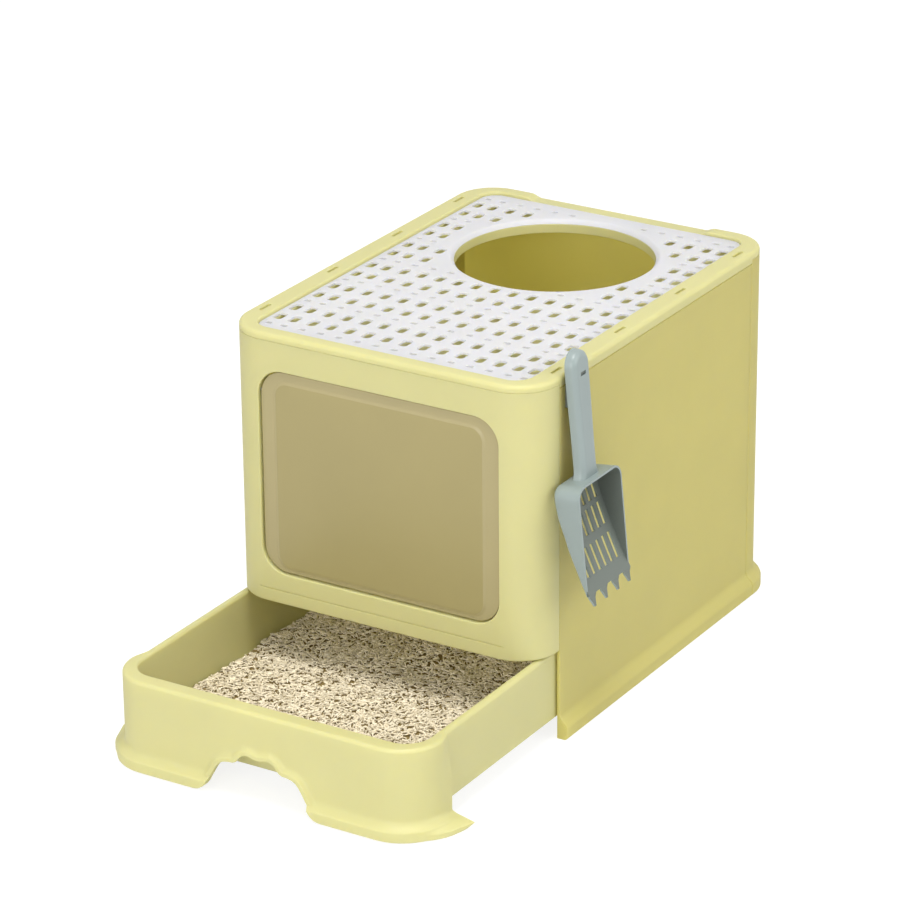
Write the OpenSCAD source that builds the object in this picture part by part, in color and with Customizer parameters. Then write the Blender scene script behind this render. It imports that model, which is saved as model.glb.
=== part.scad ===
// Drawer litter box: a flat-pack box of moulded panels with a lift-off lid, a perforated
// paw plate, a swinging door flap, a pull-out litter drawer and a scoop on a side hook.
// Millimetres. X runs across the front, Y from front to back, Z up from the floor.
// The origin is on the floor, in the middle of the box's footprint.

/* [Box] */
// Width across the side panels
body_w = 380; // [360:1:400]
// Depth from the front panel to the back panel
body_d = 520; // [500:1:540]
// Height to the top of the lid
body_h = 410; // [395:1:425]
// Thickness of the panels
wall = 3; // [2.6:0.1:3.6]
// Radius of the upright corners
corner_r = 46; // [42:1:50]
// How far the foot stands out from the panels
foot_flare = 9; // [7:0.5:11]
// Height of the flared foot
foot_h = 28; // [24:1:32]
// Distance of the base tray behind the front ends of the side panels
base_setback = 50; // [40:1:60]
// Straight return of the front panel behind its corners
front_flat = 4; // [3:0.5:8]
// Straight return of the back panel ahead of its corners
rear_flat = 6; // [4:0.5:10]

/* [Fits] */
// Gap between pieces that rest on or against each other
seat = 0.3; // [0.2:0.05:0.5]
// Open seam along the top and the rear edge of the side panels
seam = 0.8; // [0.5:0.1:0.95]
// Gap between the drawer's rim and the front panel above it
rim_gap = 1.5; // [1:0.1:2]
// Gap beside the drawer on each side
drawer_side_gap = 2.5; // [2:0.1:3.5]
// Gap between the door flap and its doorway
flap_gap = 1.5; // [1.2:0.1:2.2]
// Radial clearance of the flap on its hinge pins
pin_clear = 0.05; // [0.03:0.01:0.1]

/* [Lid] */
// Depth of the lid's skirt above the side panels
skirt_h = 12; // [11:0.5:13]
// Depth of the lid's edge above the front and back panels
edge_h = 8; // [7:0.5:9]
// Radius of the lid's outer top edge
lid_round = 4.5; // [4:0.5:7]
// Whole depth of the lid, with its catch tray
lid_depth = 19.5; // [18:0.5:22]
// Width of the lid's rim on each side of the paw plate
rim_w = 25; // [23:0.5:30]
// Width of the lid's rim at each end of the paw plate
rim_l = 18; // [15:0.5:25]
// Thickness of the paw plate
plate_t = 3; // [2.4:0.1:3.2]
// Depth of the paw plate below the lid's rim
plate_sink = 4; // [3:0.5:5]
// Corner radius of the paw plate
plate_r = 20; // [14:1:26]
// Width of the shoulder that the paw plate rests on
shoulder_w = 5; // [4:0.5:7]
// Radius of the cat's hole at the paw plate
hole_r = 114; // [105:1:118]
// Distance of the hole's centre ahead of the paw plate's rear end
hole_end = 136; // [130:1:146]
// How far the plate's funnel lip narrows the hole
lip_in = 3.5; // [2:0.5:5]
// How far the plate's funnel lip reaches down
lip_down = 5; // [4:0.5:6]
// Length of each snap slot in the lid's sides
slot_l = 20; // [16:0.5:24]
// Width of each snap slot
slot_w = 4.5; // [4:0.1:5]
// Distance of the slots' centre line from the lid's side
slot_inset = 12; // [11:0.5:13]
// Distance of the end tabs from the side panels' rear ends
tab_end = 1.7; // [1:0.1:5]
// Depth of the finger dip in the rear edge
dip_h = 4; // [2:0.5:4.5]
// Length of the finger dip
dip_w = 236; // [180:1:250]

/* [Paw plate holes] */
// Spacing of the columns
col_pitch = 22.8; // [22:0.1:23.4]
// Columns on each side of the middle one
cols_half = 6; // [4:1:6]
// Distance of the outermost column from the plate's side
col_inset = 9.5; // [8.5:0.5:14]
// Spacing of the groups of rows
row_group = 74.4; // [72:0.1:75]
// Distance of the two long-hole rows from the middle of a group
row_half = 15.2; // [14.5:0.1:15.5]
// Width of a long hole
hole_w = 10.5; // [8:0.1:12]
// Length of a long hole
hole_l = 17.5; // [14:0.1:19]
// Width of a short hole
short_w = 8; // [6:0.1:9]
// Length of a short hole
short_l = 5; // [4:0.1:6]

/* [Doorway and flap] */
// Width of the front panel on each side of the doorway
door_side = 43.5; // [42:0.5:50]
// Distance of the doorway's top below the lid's top
door_drop = 40.5; // [39.5:0.5:50]
// Height of the doorway's sill above the floor
door_sill = 137.5; // [136:0.5:140]
// Corner radius of the doorway
door_r = 30; // [26:1:34]
// Depth of the frame round the doorway
door_depth = 12; // [11:0.5:15]
// Thickness of the frame round the doorway
door_rim = 2.5; // [2.2:0.1:3]
// Thickness of the flap
flap_t = 2; // [1.8:0.1:2.4]
// Depth of the flap's raised middle behind the front panel's face
flap_sink = 2; // [1.5:0.1:3]
// Height of the flap's raised middle above its border
emboss = 1.5; // [0.5:0.1:1.8]
// Width of the flap's border at its sides
border_side = 19; // [16:0.5:20]
// Width of the flap's border at its top
border_top = 13; // [11:0.5:16]
// Width of the flap's border at its foot
border_foot = 7; // [6:0.5:12]
// Corner radius of the flap's raised middle
middle_r = 14; // [10:1:18]
// Height of the hinge line above the foot of the doorway's top corners
hinge_up = 4; // [2:0.5:5]
// Radius of the hinge pins
pin_r = 1.25; // [1:0.05:1.4]
// Length of a hinge pin
pin_l = 26; // [22:0.5:26]
// Radius of the knuckles on the flap
knuckle_r = 2.6; // [2.3:0.1:3]
// Height of the groove below the doorway
groove_z = 118; // [114:1:122]
// Width of the groove
groove_w = 1.2; // [0.8:0.1:2]
// Depth of the groove
groove_d = 0.8; // [0.4:0.1:1.2]

/* [Drawer] */
// Height of the drawer's rim above the floor
drawer_h = 100.5; // [96:0.5:104]
// How far the drawer stands out at rest
drawer_out = 230; // [180:1:260]
// How far the closed drawer's front stands ahead of the front panel
front_proud = 16; // [14:0.5:18]
// Gap between the apron's ends and the side panels when closed
apron_gap = 1; // [0.6:0.1:2]
// Height of the tub's underside above the floor
tub_lift = 20; // [18:0.5:22]
// Thickness of the tub's walls
tub_wall = 2.5; // [2:0.1:3]
// Width of the rim along the sides
rim_side = 9; // [7:0.5:11]
// Width of the rim along the front
rim_front = 20; // [17:0.5:24]
// Gap between the base tray and the rim's turned-down edge along the sides
rim_foot = 4; // [2:0.5:8]
// Lean of the tub's side and rear walls
tub_lean = 2; // [1:0.5:4]
// Lean of the tub's front wall
front_lean = 16; // [10:1:20]
// Inner corner radius of the rim
tub_r = 28; // [24:1:32]
// Gap behind the closed tub
rear_gap = 9; // [8:1:14]
// Clearance of the apron's feet above the floor
apron_lift = 0.6; // [0.4:0.1:1]
// How far the apron's feet fan out at their rear ends
fan_out = 27; // [20:1:30]
// Length of the fanned end of a foot
fan_l = 30; // [24:1:36]
// Height of a foot's fanned end at the apron
fan_h = 10; // [8:0.5:12]
// Height of a foot's fanned tip
fan_tip = 5; // [4:0.5:7]
// Width of the hand hole at the floor
grip_foot_w = 150; // [136:1:164]
// Width of the hand hole at its shoulders
grip_w = 92; // [84:1:100]
// Height of the hand hole's shoulders
grip_h = 40; // [36:0.5:44]
// Radius of the two finger scallops
finger_r = 13; // [11:0.5:15]
// Height of the scallops above the shoulders
finger_up = 12; // [8:0.5:14]
// Mean depth of the litter
litter_h = 12; // [6:0.5:14]
// Height of the swells in the litter
swell_h = 2; // [1:0.1:2.5]
// Distance from one swell to the next
swell_l = 116; // [100:2:140]

/* [Scoop] */
// Width of the bowl
bowl_w = 88; // [80:1:96]
// Depth of the bowl behind the teeth's line, measured square to the opening
bowl_deep = 33.5; // [30:0.5:36]
// Length of the bowl's opening
bowl_l = 117; // [108:1:122]
// Thickness of the scoop's walls
scoop_t = 2.2; // [2:0.1:2.6]
// Corner radius of the bowl
bowl_r = 14; // [10:1:18]
// Length of the teeth
tooth_l = 13; // [10:1:18]
// Number of teeth
tooth_n = 4; // [3:1:5]
// Width of a tooth at its root
tooth_w = 14; // [10:1:16]
// Width of a tooth at its tip
tooth_tip = 3; // [2:0.5:5]
// Length of the handle
handle_l = 137; // [130:1:142]
// Width of the handle
handle_w = 33; // [30:0.5:36]
// Thickness of the handle
handle_t = 12; // [11:0.5:13]
// Number of sifting slots across the bowl
sift_n = 6; // [4:1:6]
// Width of a sifting slot
sift_w = 6; // [4:0.1:7]
// Distance of the scoop's middle behind the front panel's face
scoop_y = 70; // [62:1:90]
// Lean of the hanging scoop, in degrees
scoop_lean = 5.5; // [4.5:0.5:6]
// Height of the scoop's top end above the lid's top
scoop_up = 24; // [18:1:28]
// Thickness of the hook's plate
hook_t = 2.5; // [2:0.1:3]
// Width of the hook's plate
hook_w = 18; // [14:0.5:20]
// Height of the hook's plate
hook_h = 40; // [36:1:44]
// Width of the hook's peg
peg_w = 11; // [8:0.5:12]
// Height of the hook's peg
peg_h = 2.2; // [1.8:0.1:2.6]
// Radius of the hook's snap studs
stud_r = 2.5; // [2:0.1:3]

/* [Hidden] */
$fn = 96;
eps = 0.01;
arc_steps = 6;
hull_fn = 32;

// Colours
yellow = "#DCD88C";
plate_white = "#E9E9EF";
smoke = "#A89C6E";
slate = "#97A3A6";
steel = "#B8BABC";
litter = "#B9AC92";

// Planes of the box
front_y = -body_d / 2;
back_y = body_d / 2;
side_x = body_w / 2;
inner_x = side_x - wall;
front_wrap = corner_r + front_flat;
rear_wrap = corner_r + rear_flat;
front_bottom = drawer_h + rim_gap;
side_top = body_h - skirt_h - seam;
panel_top = body_h - edge_h - seat;
side_y0 = front_y + front_wrap + seat;
side_y1 = back_y - rear_wrap - seam;

// Planes of the lid and the paw plate
lid_t = wall;
plate_w = body_w - 2 * rim_w;
plate_l = body_d - 2 * rim_l;
hole_back = plate_l / 2 - hole_end;
col_edge = plate_w / 2 - col_inset;
plate_top = body_h - plate_sink;
plate_under = plate_top - plate_t;
shoulder_z = plate_under - seat;
lid_bottom = body_h - lid_depth;
catch_z = lid_bottom + wall;
recess_w = plate_w + 2 * seat;
recess_l = plate_l + 2 * seat;
recess_r = plate_r + seat;
collar_r = hole_r - lip_in;
collar_top = plate_top - lip_down - seat;
tab_t = 3;
tab_play = 1;
slot_x = side_x - slot_inset;
slot_row = [-1.5, -0.5, 0.5, 1.5];
slot_pitch = (side_y1 - tab_end + tab_play - slot_l / 2) / slot_row[3];

// Doorway and hinge
door_w = body_w - 2 * door_side;
door_top = body_h - door_drop;
door_h = door_top - door_sill;
door_mid = door_sill + door_h / 2;
hinge_z = door_top - door_r + hinge_up;
border_front = flap_sink + emboss;
border_back = border_front + flap_t;
hinge_y = front_y + border_front + knuckle_r;
flap_w = door_w - 2 * flap_gap;
flap_h = door_h - 2 * flap_gap;
flap_r = door_r - flap_gap;
// Half width of the flap and of the doorway at the height of the hinge line
flap_hinge_x = flap_w / 2 - flap_r + sqrt(pow(flap_r, 2) - pow(hinge_up, 2));
door_hinge_x = door_w / 2 - door_r + sqrt(pow(door_r, 2) - pow(hinge_up, 2));
boss_r = knuckle_r + 1;
pin_end = door_hinge_x + door_rim + 5;
pin_start = pin_end - pin_l;
knuckle_end = flap_hinge_x - 1;
knuckle_start = pin_start - 2;

// Drawer, at rest
apron_y = front_y - drawer_out;
apron_end = apron_y + front_proud + front_wrap - apron_gap;
tub_x = inner_x - drawer_side_gap;
tub_back = back_y - wall - rear_gap - drawer_out + front_proud;
tub_floor = tub_lift + tub_wall;
rim_t = wall;
base_h = tub_lift - seat;
rim_lip = drawer_h - base_h - rim_foot;

// Scoop
scoop_top = body_h + scoop_up;
scoop_mid_y = front_y + scoop_y;
scoop_x = side_x + 1.5;
bowl_top = handle_l - scoop_t / 2;
bowl_back = -12.8;
bowl_rim = bowl_back + bowl_deep;
bowl_end = bowl_top + bowl_l;
bowl_heel = 8;
floor_run = bowl_l - bowl_heel;
floor_len = sqrt(pow(floor_run, 2) + pow(bowl_deep, 2));
floor_lean = atan(bowl_deep / floor_run);
tooth_pitch = (bowl_w - tooth_w - scoop_t) / (tooth_n - 1);
sift_pitch = (bowl_w - 2 * bowl_heel) / sift_n;
sift_rows = [[0.09, 0.18], [0.33, 0.20], [0.61, 0.25]];

// ---- outlines ----

// Rounded rectangle, centred
module round_rect(w, l, r) {
    square([w - 2 * r, l], center = true);
    square([w, l - 2 * r], center = true);
    for (sx = [-1, 1], sy = [-1, 1])
        translate([sx * (w / 2 - r), sy * (l / 2 - r)]) circle(r);
}

// The box's plan, drawn in by a distance
module plan(inset) {
    round_rect(body_w - 2 * inset, body_d - 2 * inset, corner_r - inset);
}

// A quarter arc of points about a centre
function arc(cx, cz, r, a0, a1, n = arc_steps) =
    [for (i = [0 : n]) let (a = a0 + (a1 - a0) * i / n) [cx + r * cos(a), cz + r * sin(a)]];

// Outer face of the flared foot, from its bottom to its top, at a distance x
foot_belly = 13;
foot_toe = 3;
function foot_points(x) = concat(
    [[x + foot_flare - foot_toe, 0]],
    arc(x + foot_flare - foot_toe, foot_toe, foot_toe, -60, 0, 3),
    [for (i = [0 : arc_steps]) let (t = i / arc_steps)
        [x + foot_flare * (1 + cos(180 * t)) / 2, foot_belly + (foot_h - foot_belly) * t]]);

// Cross-section of a wall with a foot; x is its outer face
function foot_wall(x, top) = concat(
    [[x - wall, 0]], foot_points(x), [[x, top], [x - wall, top]]);

// Runs a cross-section along the box's back and its two rear corners, ending at y0;
// the cross-section's x is measured outwards from the corners' centres
module rear_run(points, y0) {
    cx = side_x - corner_r;
    cy = back_y - corner_r;
    for (s = [-1, 1]) {
        translate([s * cx, cy, 0]) rotate([0, 0, s > 0 ? 0 : 90])
            rotate_extrude(angle = 90) polygon(points);
        mirror([s > 0 ? 0 : 1, 0, 0]) translate([cx, cy, 0]) rotate([90, 0, 0])
            linear_extrude(cy - y0) polygon(points);
    }
    translate([-cx, cy, 0]) rotate([90, 0, 90]) linear_extrude(2 * cx) polygon(points);
}

// Slab with the plan of the box and a rounded top edge
module round_slab(z0, z1, f) {
    points = concat([[0, z0], [corner_r, z0]],
                    arc(corner_r - f, z1 - f, f, 0, 90), [[0, z1]]);
    cx = side_x - corner_r;
    cy = back_y - corner_r;
    for (q = [[1, 1, 0], [-1, 1, 90], [-1, -1, 180], [1, -1, 270]])
        translate([q[0] * cx, q[1] * cy, 0]) rotate([0, 0, q[2]])
            rotate_extrude(angle = 90) polygon(points);
    for (s = [0, 180]) rotate([0, 0, s]) {
        translate([cx, cy, 0]) rotate([90, 0, 0]) linear_extrude(2 * cy) polygon(points);
        translate([-cx, cy, 0]) rotate([90, 0, 90]) linear_extrude(2 * cx) polygon(points);
    }
    translate([-cx, -cy, z0]) cube([2 * cx, 2 * cy, z1 - z0]);
}

// ---- base and panels ----

rail_w = 12;
base_floor = 2.5;
base_front = side_y0 + base_setback;

module base_plan(inset) {
    intersection() {
        plan(wall + seat + inset);
        translate([-side_x, base_front + inset]) square([body_w, body_d]);
    }
}

// Bottom tray: it ties the side and back panels together and carries the drawer
module base_tray() color(yellow) {
    difference() {
        linear_extrude(base_h) base_plan(0);
        translate([0, 0, base_floor]) linear_extrude(base_h) base_plan(rail_w);
    }
    // Bearer down the middle of the drawer's path
    translate([-rail_w / 2, base_front + rail_w / 2, eps])
        cube([rail_w, back_y - wall - rail_w - base_front, base_h - eps]);
}

tongue_t = 3;
tongue_w = 10;
tongue_clear = 4;

// Side panel on the +X side
module side_panel() {
    top_t = tongue_t;
    ledge_x = slot_x - slot_inset / 2;
    profile = concat(
        [[inner_x, 0]], foot_points(side_x),
        [[side_x, side_top], [ledge_x, side_top], [ledge_x, side_top - top_t],
         [inner_x, side_top - top_t]]);
    translate([0, side_y1, 0]) rotate([90, 0, 0])
        linear_extrude(side_y1 - side_y0) polygon(profile);
    // Snap tabs that stand in the lid's slots
    for (k = slot_row)
        translate([slot_x - tab_t / 2, k * slot_pitch - slot_l / 2 + tab_play, side_top - eps])
            cube([tab_t, slot_l - 2 * tab_play, body_h - lid_t / 2 - side_top + eps]);
    // Tongues that lap behind the front and back panels, above the drawer
    tongue_z0 = front_bottom + tongue_clear;
    translate([0, 0, tongue_z0]) linear_extrude(side_top - top_t - tongue_z0 - tongue_clear)
        for (e = [[side_y0, -1], [side_y1, 1]])
            polygon([[inner_x + eps, e[0]], [inner_x + eps, e[0] - e[1] * tongue_w],
                     [inner_x - tongue_t, e[0] - e[1] * tongue_w],
                     [inner_x - tongue_t, e[0] + e[1] * tongue_w],
                     [inner_x - seat, e[0] + e[1] * tongue_w], [inner_x - seat, e[0]]]);
}

module side_panel_left() color(yellow) mirror([1, 0, 0]) side_panel();

module side_panel_right() color(yellow) difference() {
    side_panel();
    for (z = stud_z) translate([inner_x - 1, scoop_mid_y, z]) rotate([0, 90, 0])
        cylinder(h = wall + 2, r = stud_r);
}

flange_t = wall;

// Flange round the inside of the box, between two heights, cut to one end of the box
module end_flange(z0, t, y0, y1) {
    translate([0, 0, z0]) linear_extrude(t) intersection() {
        difference() {
            plan(wall - eps);
            recess(wall + seam);
        }
        translate([-side_x, y0]) square([body_w, y1 - y0]);
    }
}

// Back panel: it wraps round both rear corners and stands on the floor
module back_panel() color(yellow) {
    rear_run(foot_wall(corner_r, panel_top), back_y - rear_wrap);
    end_flange(panel_top - flange_t, flange_t, back_y - corner_r, back_y);
}

// Doorway's outline in the front plane, grown by a distance
module door_outline(grow) {
    round_rect(door_w + 2 * grow, door_h + 2 * grow, door_r + grow);
}

// Stands an outline up in the front plane, with its back d behind the front face
module stand_front(d, t, z) {
    translate([0, front_y + d, z]) rotate([90, 0, 0]) linear_extrude(t) children();
}

// Front panel: it wraps round both front corners and holds the doorway
module front_panel() color(yellow) difference() {
    union() {
        translate([0, 0, front_bottom]) linear_extrude(panel_top - front_bottom)
            intersection() {
                difference() {
                    plan(0);
                    plan(wall);
                }
                translate([-side_x, front_y]) square([body_w, front_wrap]);
            }
        end_flange(panel_top - flange_t, flange_t, front_y, front_y + corner_r);
        end_flange(front_bottom, flange_t, front_y, front_y + corner_r);
        // Frame round the doorway, with a boss at each hinge pin
        stand_front(door_depth, door_depth - eps, door_mid) door_outline(door_rim);
        for (s = [-1, 1]) translate([s * (door_hinge_x - 1), hinge_y, hinge_z])
            rotate([0, s * 90, 0]) cylinder(h = pin_end - door_hinge_x, r = boss_r);
    }
    stand_front(door_depth + 1, door_depth + 2, door_mid) door_outline(0);
    for (s = [-1, 1]) translate([s * (door_hinge_x - 2), hinge_y, hinge_z])
        rotate([0, s * 90, 0]) cylinder(h = pin_end - door_hinge_x + 2, r = pin_r);
    stand_front(groove_d, groove_d + 1, groove_z + groove_w / 2)
        square([door_w + 2 * front_flat, groove_w], center = true);
}

// Steel pin, pressed into the doorway's frame from its side
module hinge_pin(s) color(steel) translate([s * pin_start, hinge_y, hinge_z])
    rotate([0, s * 90, 0]) cylinder(h = pin_l, r = pin_r);

module hinge_pin_left() hinge_pin(-1);

module hinge_pin_right() hinge_pin(1);

// Swinging flap, with a raised middle and a knuckle at each pin
module door_flap() color(smoke) difference() {
    mid_w = flap_w - 2 * border_side;
    mid_h = flap_h - border_top - border_foot;
    mid_z = door_mid + (border_foot - border_top) / 2;
    union() {
        stand_front(border_back, flap_t, door_mid) round_rect(flap_w, flap_h, flap_r);
        stand_front(border_back, border_back - flap_sink, mid_z)
            round_rect(mid_w, mid_h, middle_r);
        for (s = [-1, 1]) translate([s * knuckle_start, hinge_y, hinge_z])
            rotate([0, s * 90, 0]) cylinder(h = knuckle_end - knuckle_start, r = knuckle_r);
    }
    // Hollow behind the raised middle
    stand_front(border_back + 1, 1 + border_back - flap_sink - flap_t, mid_z)
        round_rect(mid_w - 2 * flap_t, mid_h - 2 * flap_t, middle_r - flap_t);
    for (s = [-1, 1]) translate([s * (pin_start - 1), hinge_y, hinge_z])
        rotate([0, s * 90, 0]) cylinder(h = pin_l, r = pin_r + pin_clear);
}

// ---- lid and paw plate ----

module recess(grow) {
    round_rect(recess_w + 2 * grow, recess_l + 2 * grow, recess_r + grow);
}

// Region beside the lid's catch tray, at one end of the box
module end_zone(y0, y1) {
    difference() {
        translate([-side_x - 1, y0]) square([body_w + 2, y1 - y0]);
        recess(wall);
    }
}

// Lift-off lid: a rim with snap slots round a catch tray with a collar
module lid() color(yellow) difference() {
    union() {
        difference() {
            round_slab(body_h - skirt_h, body_h, lid_round);
            // Hollow under the rim along the sides
            translate([0, 0, body_h - skirt_h - 1]) linear_extrude(skirt_h + 1 - lid_t)
                intersection() {
                    plan(wall);
                    translate([-side_x, -recess_l / 2]) square([body_w, recess_l]);
                }
            // The skirt stops above the front and back panels
            translate([0, 0, body_h - skirt_h - 1]) linear_extrude(skirt_h + 1 - edge_h) {
                end_zone(front_y - 1, front_y + front_wrap);
                end_zone(back_y - rear_wrap, back_y + 1);
            }
        }
        // Catch tray
        translate([0, 0, lid_bottom]) linear_extrude(lid_depth - lid_t + eps) recess(wall);
    }
    translate([0, 0, shoulder_z]) linear_extrude(lid_depth) recess(0);
    difference() {
        translate([0, 0, catch_z]) linear_extrude(lid_depth) recess(-shoulder_w);
        translate([0, hole_back, catch_z - 1]) cylinder(h = collar_top - catch_z + 1,
                                                        r = collar_r + wall);
    }
    translate([0, hole_back, lid_bottom - 1]) cylinder(h = lid_depth + 2, r = collar_r);
    for (s = [-1, 1], k = slot_row)
        translate([s * slot_x - slot_w / 2, k * slot_pitch - slot_l / 2, body_h - lid_t - 1])
            cube([slot_w, slot_l, lid_t + 2]);
    // Finger dip in the rear edge
    translate([0, back_y + 1, body_h]) rotate([90, 0, 0])
        linear_extrude(back_y + 1 - recess_l / 2 + 1)
            polygon([[-dip_w / 2, 1], [dip_w / 2, 1], [dip_w / 2 - 2 * dip_h, -dip_h],
                     [2 * dip_h - dip_w / 2, -dip_h]]);
}

// True where a hole of the grid keeps clear of the cat's hole
hole_margin = 7;
function clear_of_hole(x, y, w, l) =
    norm([max(abs(x) - w / 2, 0), max(abs(y - hole_back) - l / 2, 0)])
    > hole_r + hole_margin / 2;

col_list = concat([-col_edge], [for (i = [-cols_half : cols_half]) i * col_pitch], [col_edge]);

// True where a hole of the grid lies on the plate
plate_margin = 4;
function on_plate(x, y, w, l) =
    abs(x) + w / 2 < plate_w / 2 - plate_margin && abs(y) + l / 2 < plate_l / 2 - plate_margin;

module grid_hole(x, y, w, l) {
    if (clear_of_hole(x, y, w, l) && on_plate(x, y, w, l))
        translate([x, y]) square([w, l], center = true);
}

// Perforated plate with a funnel lip round the cat's hole
module paw_plate() color(plate_white) {
    translate([0, 0, plate_under]) linear_extrude(plate_t) difference() {
        round_rect(plate_w, plate_l, plate_r);
        translate([0, hole_back]) circle(hole_r + wall);
        for (x = col_list) {
            for (k = [-3 : 3]) grid_hole(x, k * row_group, short_w, short_l);
            for (k = [-2.5 : 2.5], s = [-1, 1])
                grid_hole(x, k * row_group + s * row_half, hole_w, hole_l);
        }
    }
    translate([0, hole_back, 0]) rotate_extrude() polygon([
        [hole_r + wall + eps, plate_top], [hole_r, plate_top],
        [collar_r, plate_top - lip_down], [collar_r + wall, plate_top - lip_down],
        [hole_r + wall + eps, plate_under]]);
}

// ---- drawer ----

// Cross-section of the apron; x is measured outwards from the corners' centres
apron_points = concat([[corner_r - wall, apron_lift]],
                      [for (p = foot_points(corner_r)) [p[0], p[1] + apron_lift]],
                      arc(corner_r - rim_t, drawer_h - rim_t, rim_t, 0, 90, 3),
                      [[corner_r - wall - 1, drawer_h], [corner_r - wall - 1, drawer_h - rim_t],
                       [corner_r - wall, drawer_h - rim_t]]);

// Apron: the drawer's front, with its two corners and a short return on each side
module apron() {
    cx = side_x - corner_r;
    cy = apron_y + corner_r;
    for (s = [-1, 1]) {
        translate([s * cx, cy, 0]) rotate([0, 0, s > 0 ? 270 : 180])
            rotate_extrude(angle = 90) polygon(apron_points);
        mirror([s > 0 ? 0 : 1, 0, 0]) translate([cx, apron_end, 0]) rotate([90, 0, 0])
            linear_extrude(apron_end - cy) polygon(apron_points);
    }
    translate([cx, cy, 0]) rotate([90, 0, -90]) linear_extrude(2 * cx) polygon(apron_points);
    for (s = [0, 1]) mirror([s, 0, 0]) fanned_foot();
}

// Rear end of the apron's foot on the +X side, fanned out to a point at the floor
module fanned_foot() {
    root_x = side_x - wall;
    tip_x = side_x + fan_out;
    intersection() {
        linear_extrude(drawer_h) polygon([
            [root_x, apron_end], [tip_x, apron_end],
            [side_x + foot_flare - foot_toe, apron_end - fan_l], [root_x, apron_end - fan_l]]);
        translate([0, apron_end, 0]) rotate([90, 0, 0]) linear_extrude(fan_l) polygon([
            [root_x, apron_lift], [tip_x, apron_lift], [tip_x, fan_tip],
            [side_x, fan_h], [root_x, fan_h]]);
    }
}

tub_front = apron_y + rim_front - tub_wall;

// Tub's plan: grow widens it, lean draws in its front
module tub_plan(grow, lean) {
    w = 2 * (tub_x - rim_side + grow);
    y0 = tub_front + tub_wall - grow + lean;
    y1 = tub_back - rim_side + grow;
    translate([0, (y0 + y1) / 2]) round_rect(w, y1 - y0, tub_r + grow);
}

// Tapered body between the tub's plan at two heights
module tub_body(grow, z0, z1) {
    hull() {
        translate([0, 0, z0]) linear_extrude(eps)
            tub_plan(grow - tub_lean, front_lean - tub_lean, $fn = hull_fn);
        translate([0, 0, z1 - eps]) linear_extrude(eps) tub_plan(grow, 0, $fn = hull_fn);
    }
}

// Hand hole in the apron, drawn from the front
module grip_outline() {
    foot_out = foot_belly;
    polygon(concat(
        [[-grip_foot_w / 2 - 2, -1], [-grip_foot_w / 2, apron_lift]],
        arc(-grip_foot_w / 2, foot_out, foot_out, -90, -20),
        [[-grip_w / 2, grip_h - 7], [7 - grip_w / 2, grip_h - 1], [14 - grip_w / 2, grip_h]],
        arc(-finger_r, grip_h + finger_up - finger_r, finger_r, 160, 50),
        arc(finger_r, grip_h + finger_up - finger_r, finger_r, 130, 20),
        [[grip_w / 2 - 14, grip_h], [grip_w / 2 - 7, grip_h - 1], [grip_w / 2, grip_h - 7]],
        arc(grip_foot_w / 2, foot_out, foot_out, 200, 270),
        [[grip_foot_w / 2, apron_lift], [grip_foot_w / 2 + 2, -1]]));
}

// Plan of the whole rim: the apron's outline ahead, the tub's sides behind
module rim_plan() {
    intersection() {
        translate([0, apron_y - front_y]) plan(1);
        translate([-side_x, apron_y]) square([body_w, apron_end - apron_y]);
    }
    translate([0, (apron_end + tub_back) / 2 - tub_r]) difference() {
        round_rect(2 * tub_x, tub_back - apron_end + 2 * tub_r, tub_r + rim_side);
    }
}

// Litter drawer: tub, rim and apron in one moulding
module drawer() color(yellow) difference() {
    union() {
        difference() {
            apron();
            translate([0, apron_y + corner_r, 0]) rotate([90, 0, 0])
                linear_extrude(corner_r + foot_flare + 1) grip_outline();
        }
        tub_body(tub_wall, tub_lift, drawer_h);
        translate([0, 0, drawer_h - rim_t]) linear_extrude(rim_t) rim_plan();
        // Turned-down edge of the rim along the sides and the back, closed against the apron's ends
        translate([0, 0, drawer_h - rim_lip]) linear_extrude(rim_lip) difference() {
            rim_plan();
            offset_rim();
        }
    }
    tub_body(0, tub_floor, drawer_h + 1);
}

// The rim's plan drawn in by its edge's thickness
module offset_rim() {
    translate([0, (apron_end + tub_back) / 2 - tub_r])
        round_rect(2 * (tub_x - tub_wall), tub_back - apron_end + 2 * (tub_r - tub_wall),
                   tub_r + rim_side - tub_wall);
    translate([-side_x - 1, apron_y - 1])
        square([body_w + 2, apron_end - tub_wall - apron_y + 1]);
}

// Height of the litter's surface: two crossing sets of swells
function litter_top(x, y) = tub_floor + litter_h
    + swell_h * sin(360 * x / swell_l + 70) * cos(360 * y / (1.2 * swell_l))
    + swell_h / 2 * sin(360 * (x + y) / (0.7 * swell_l));

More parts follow.
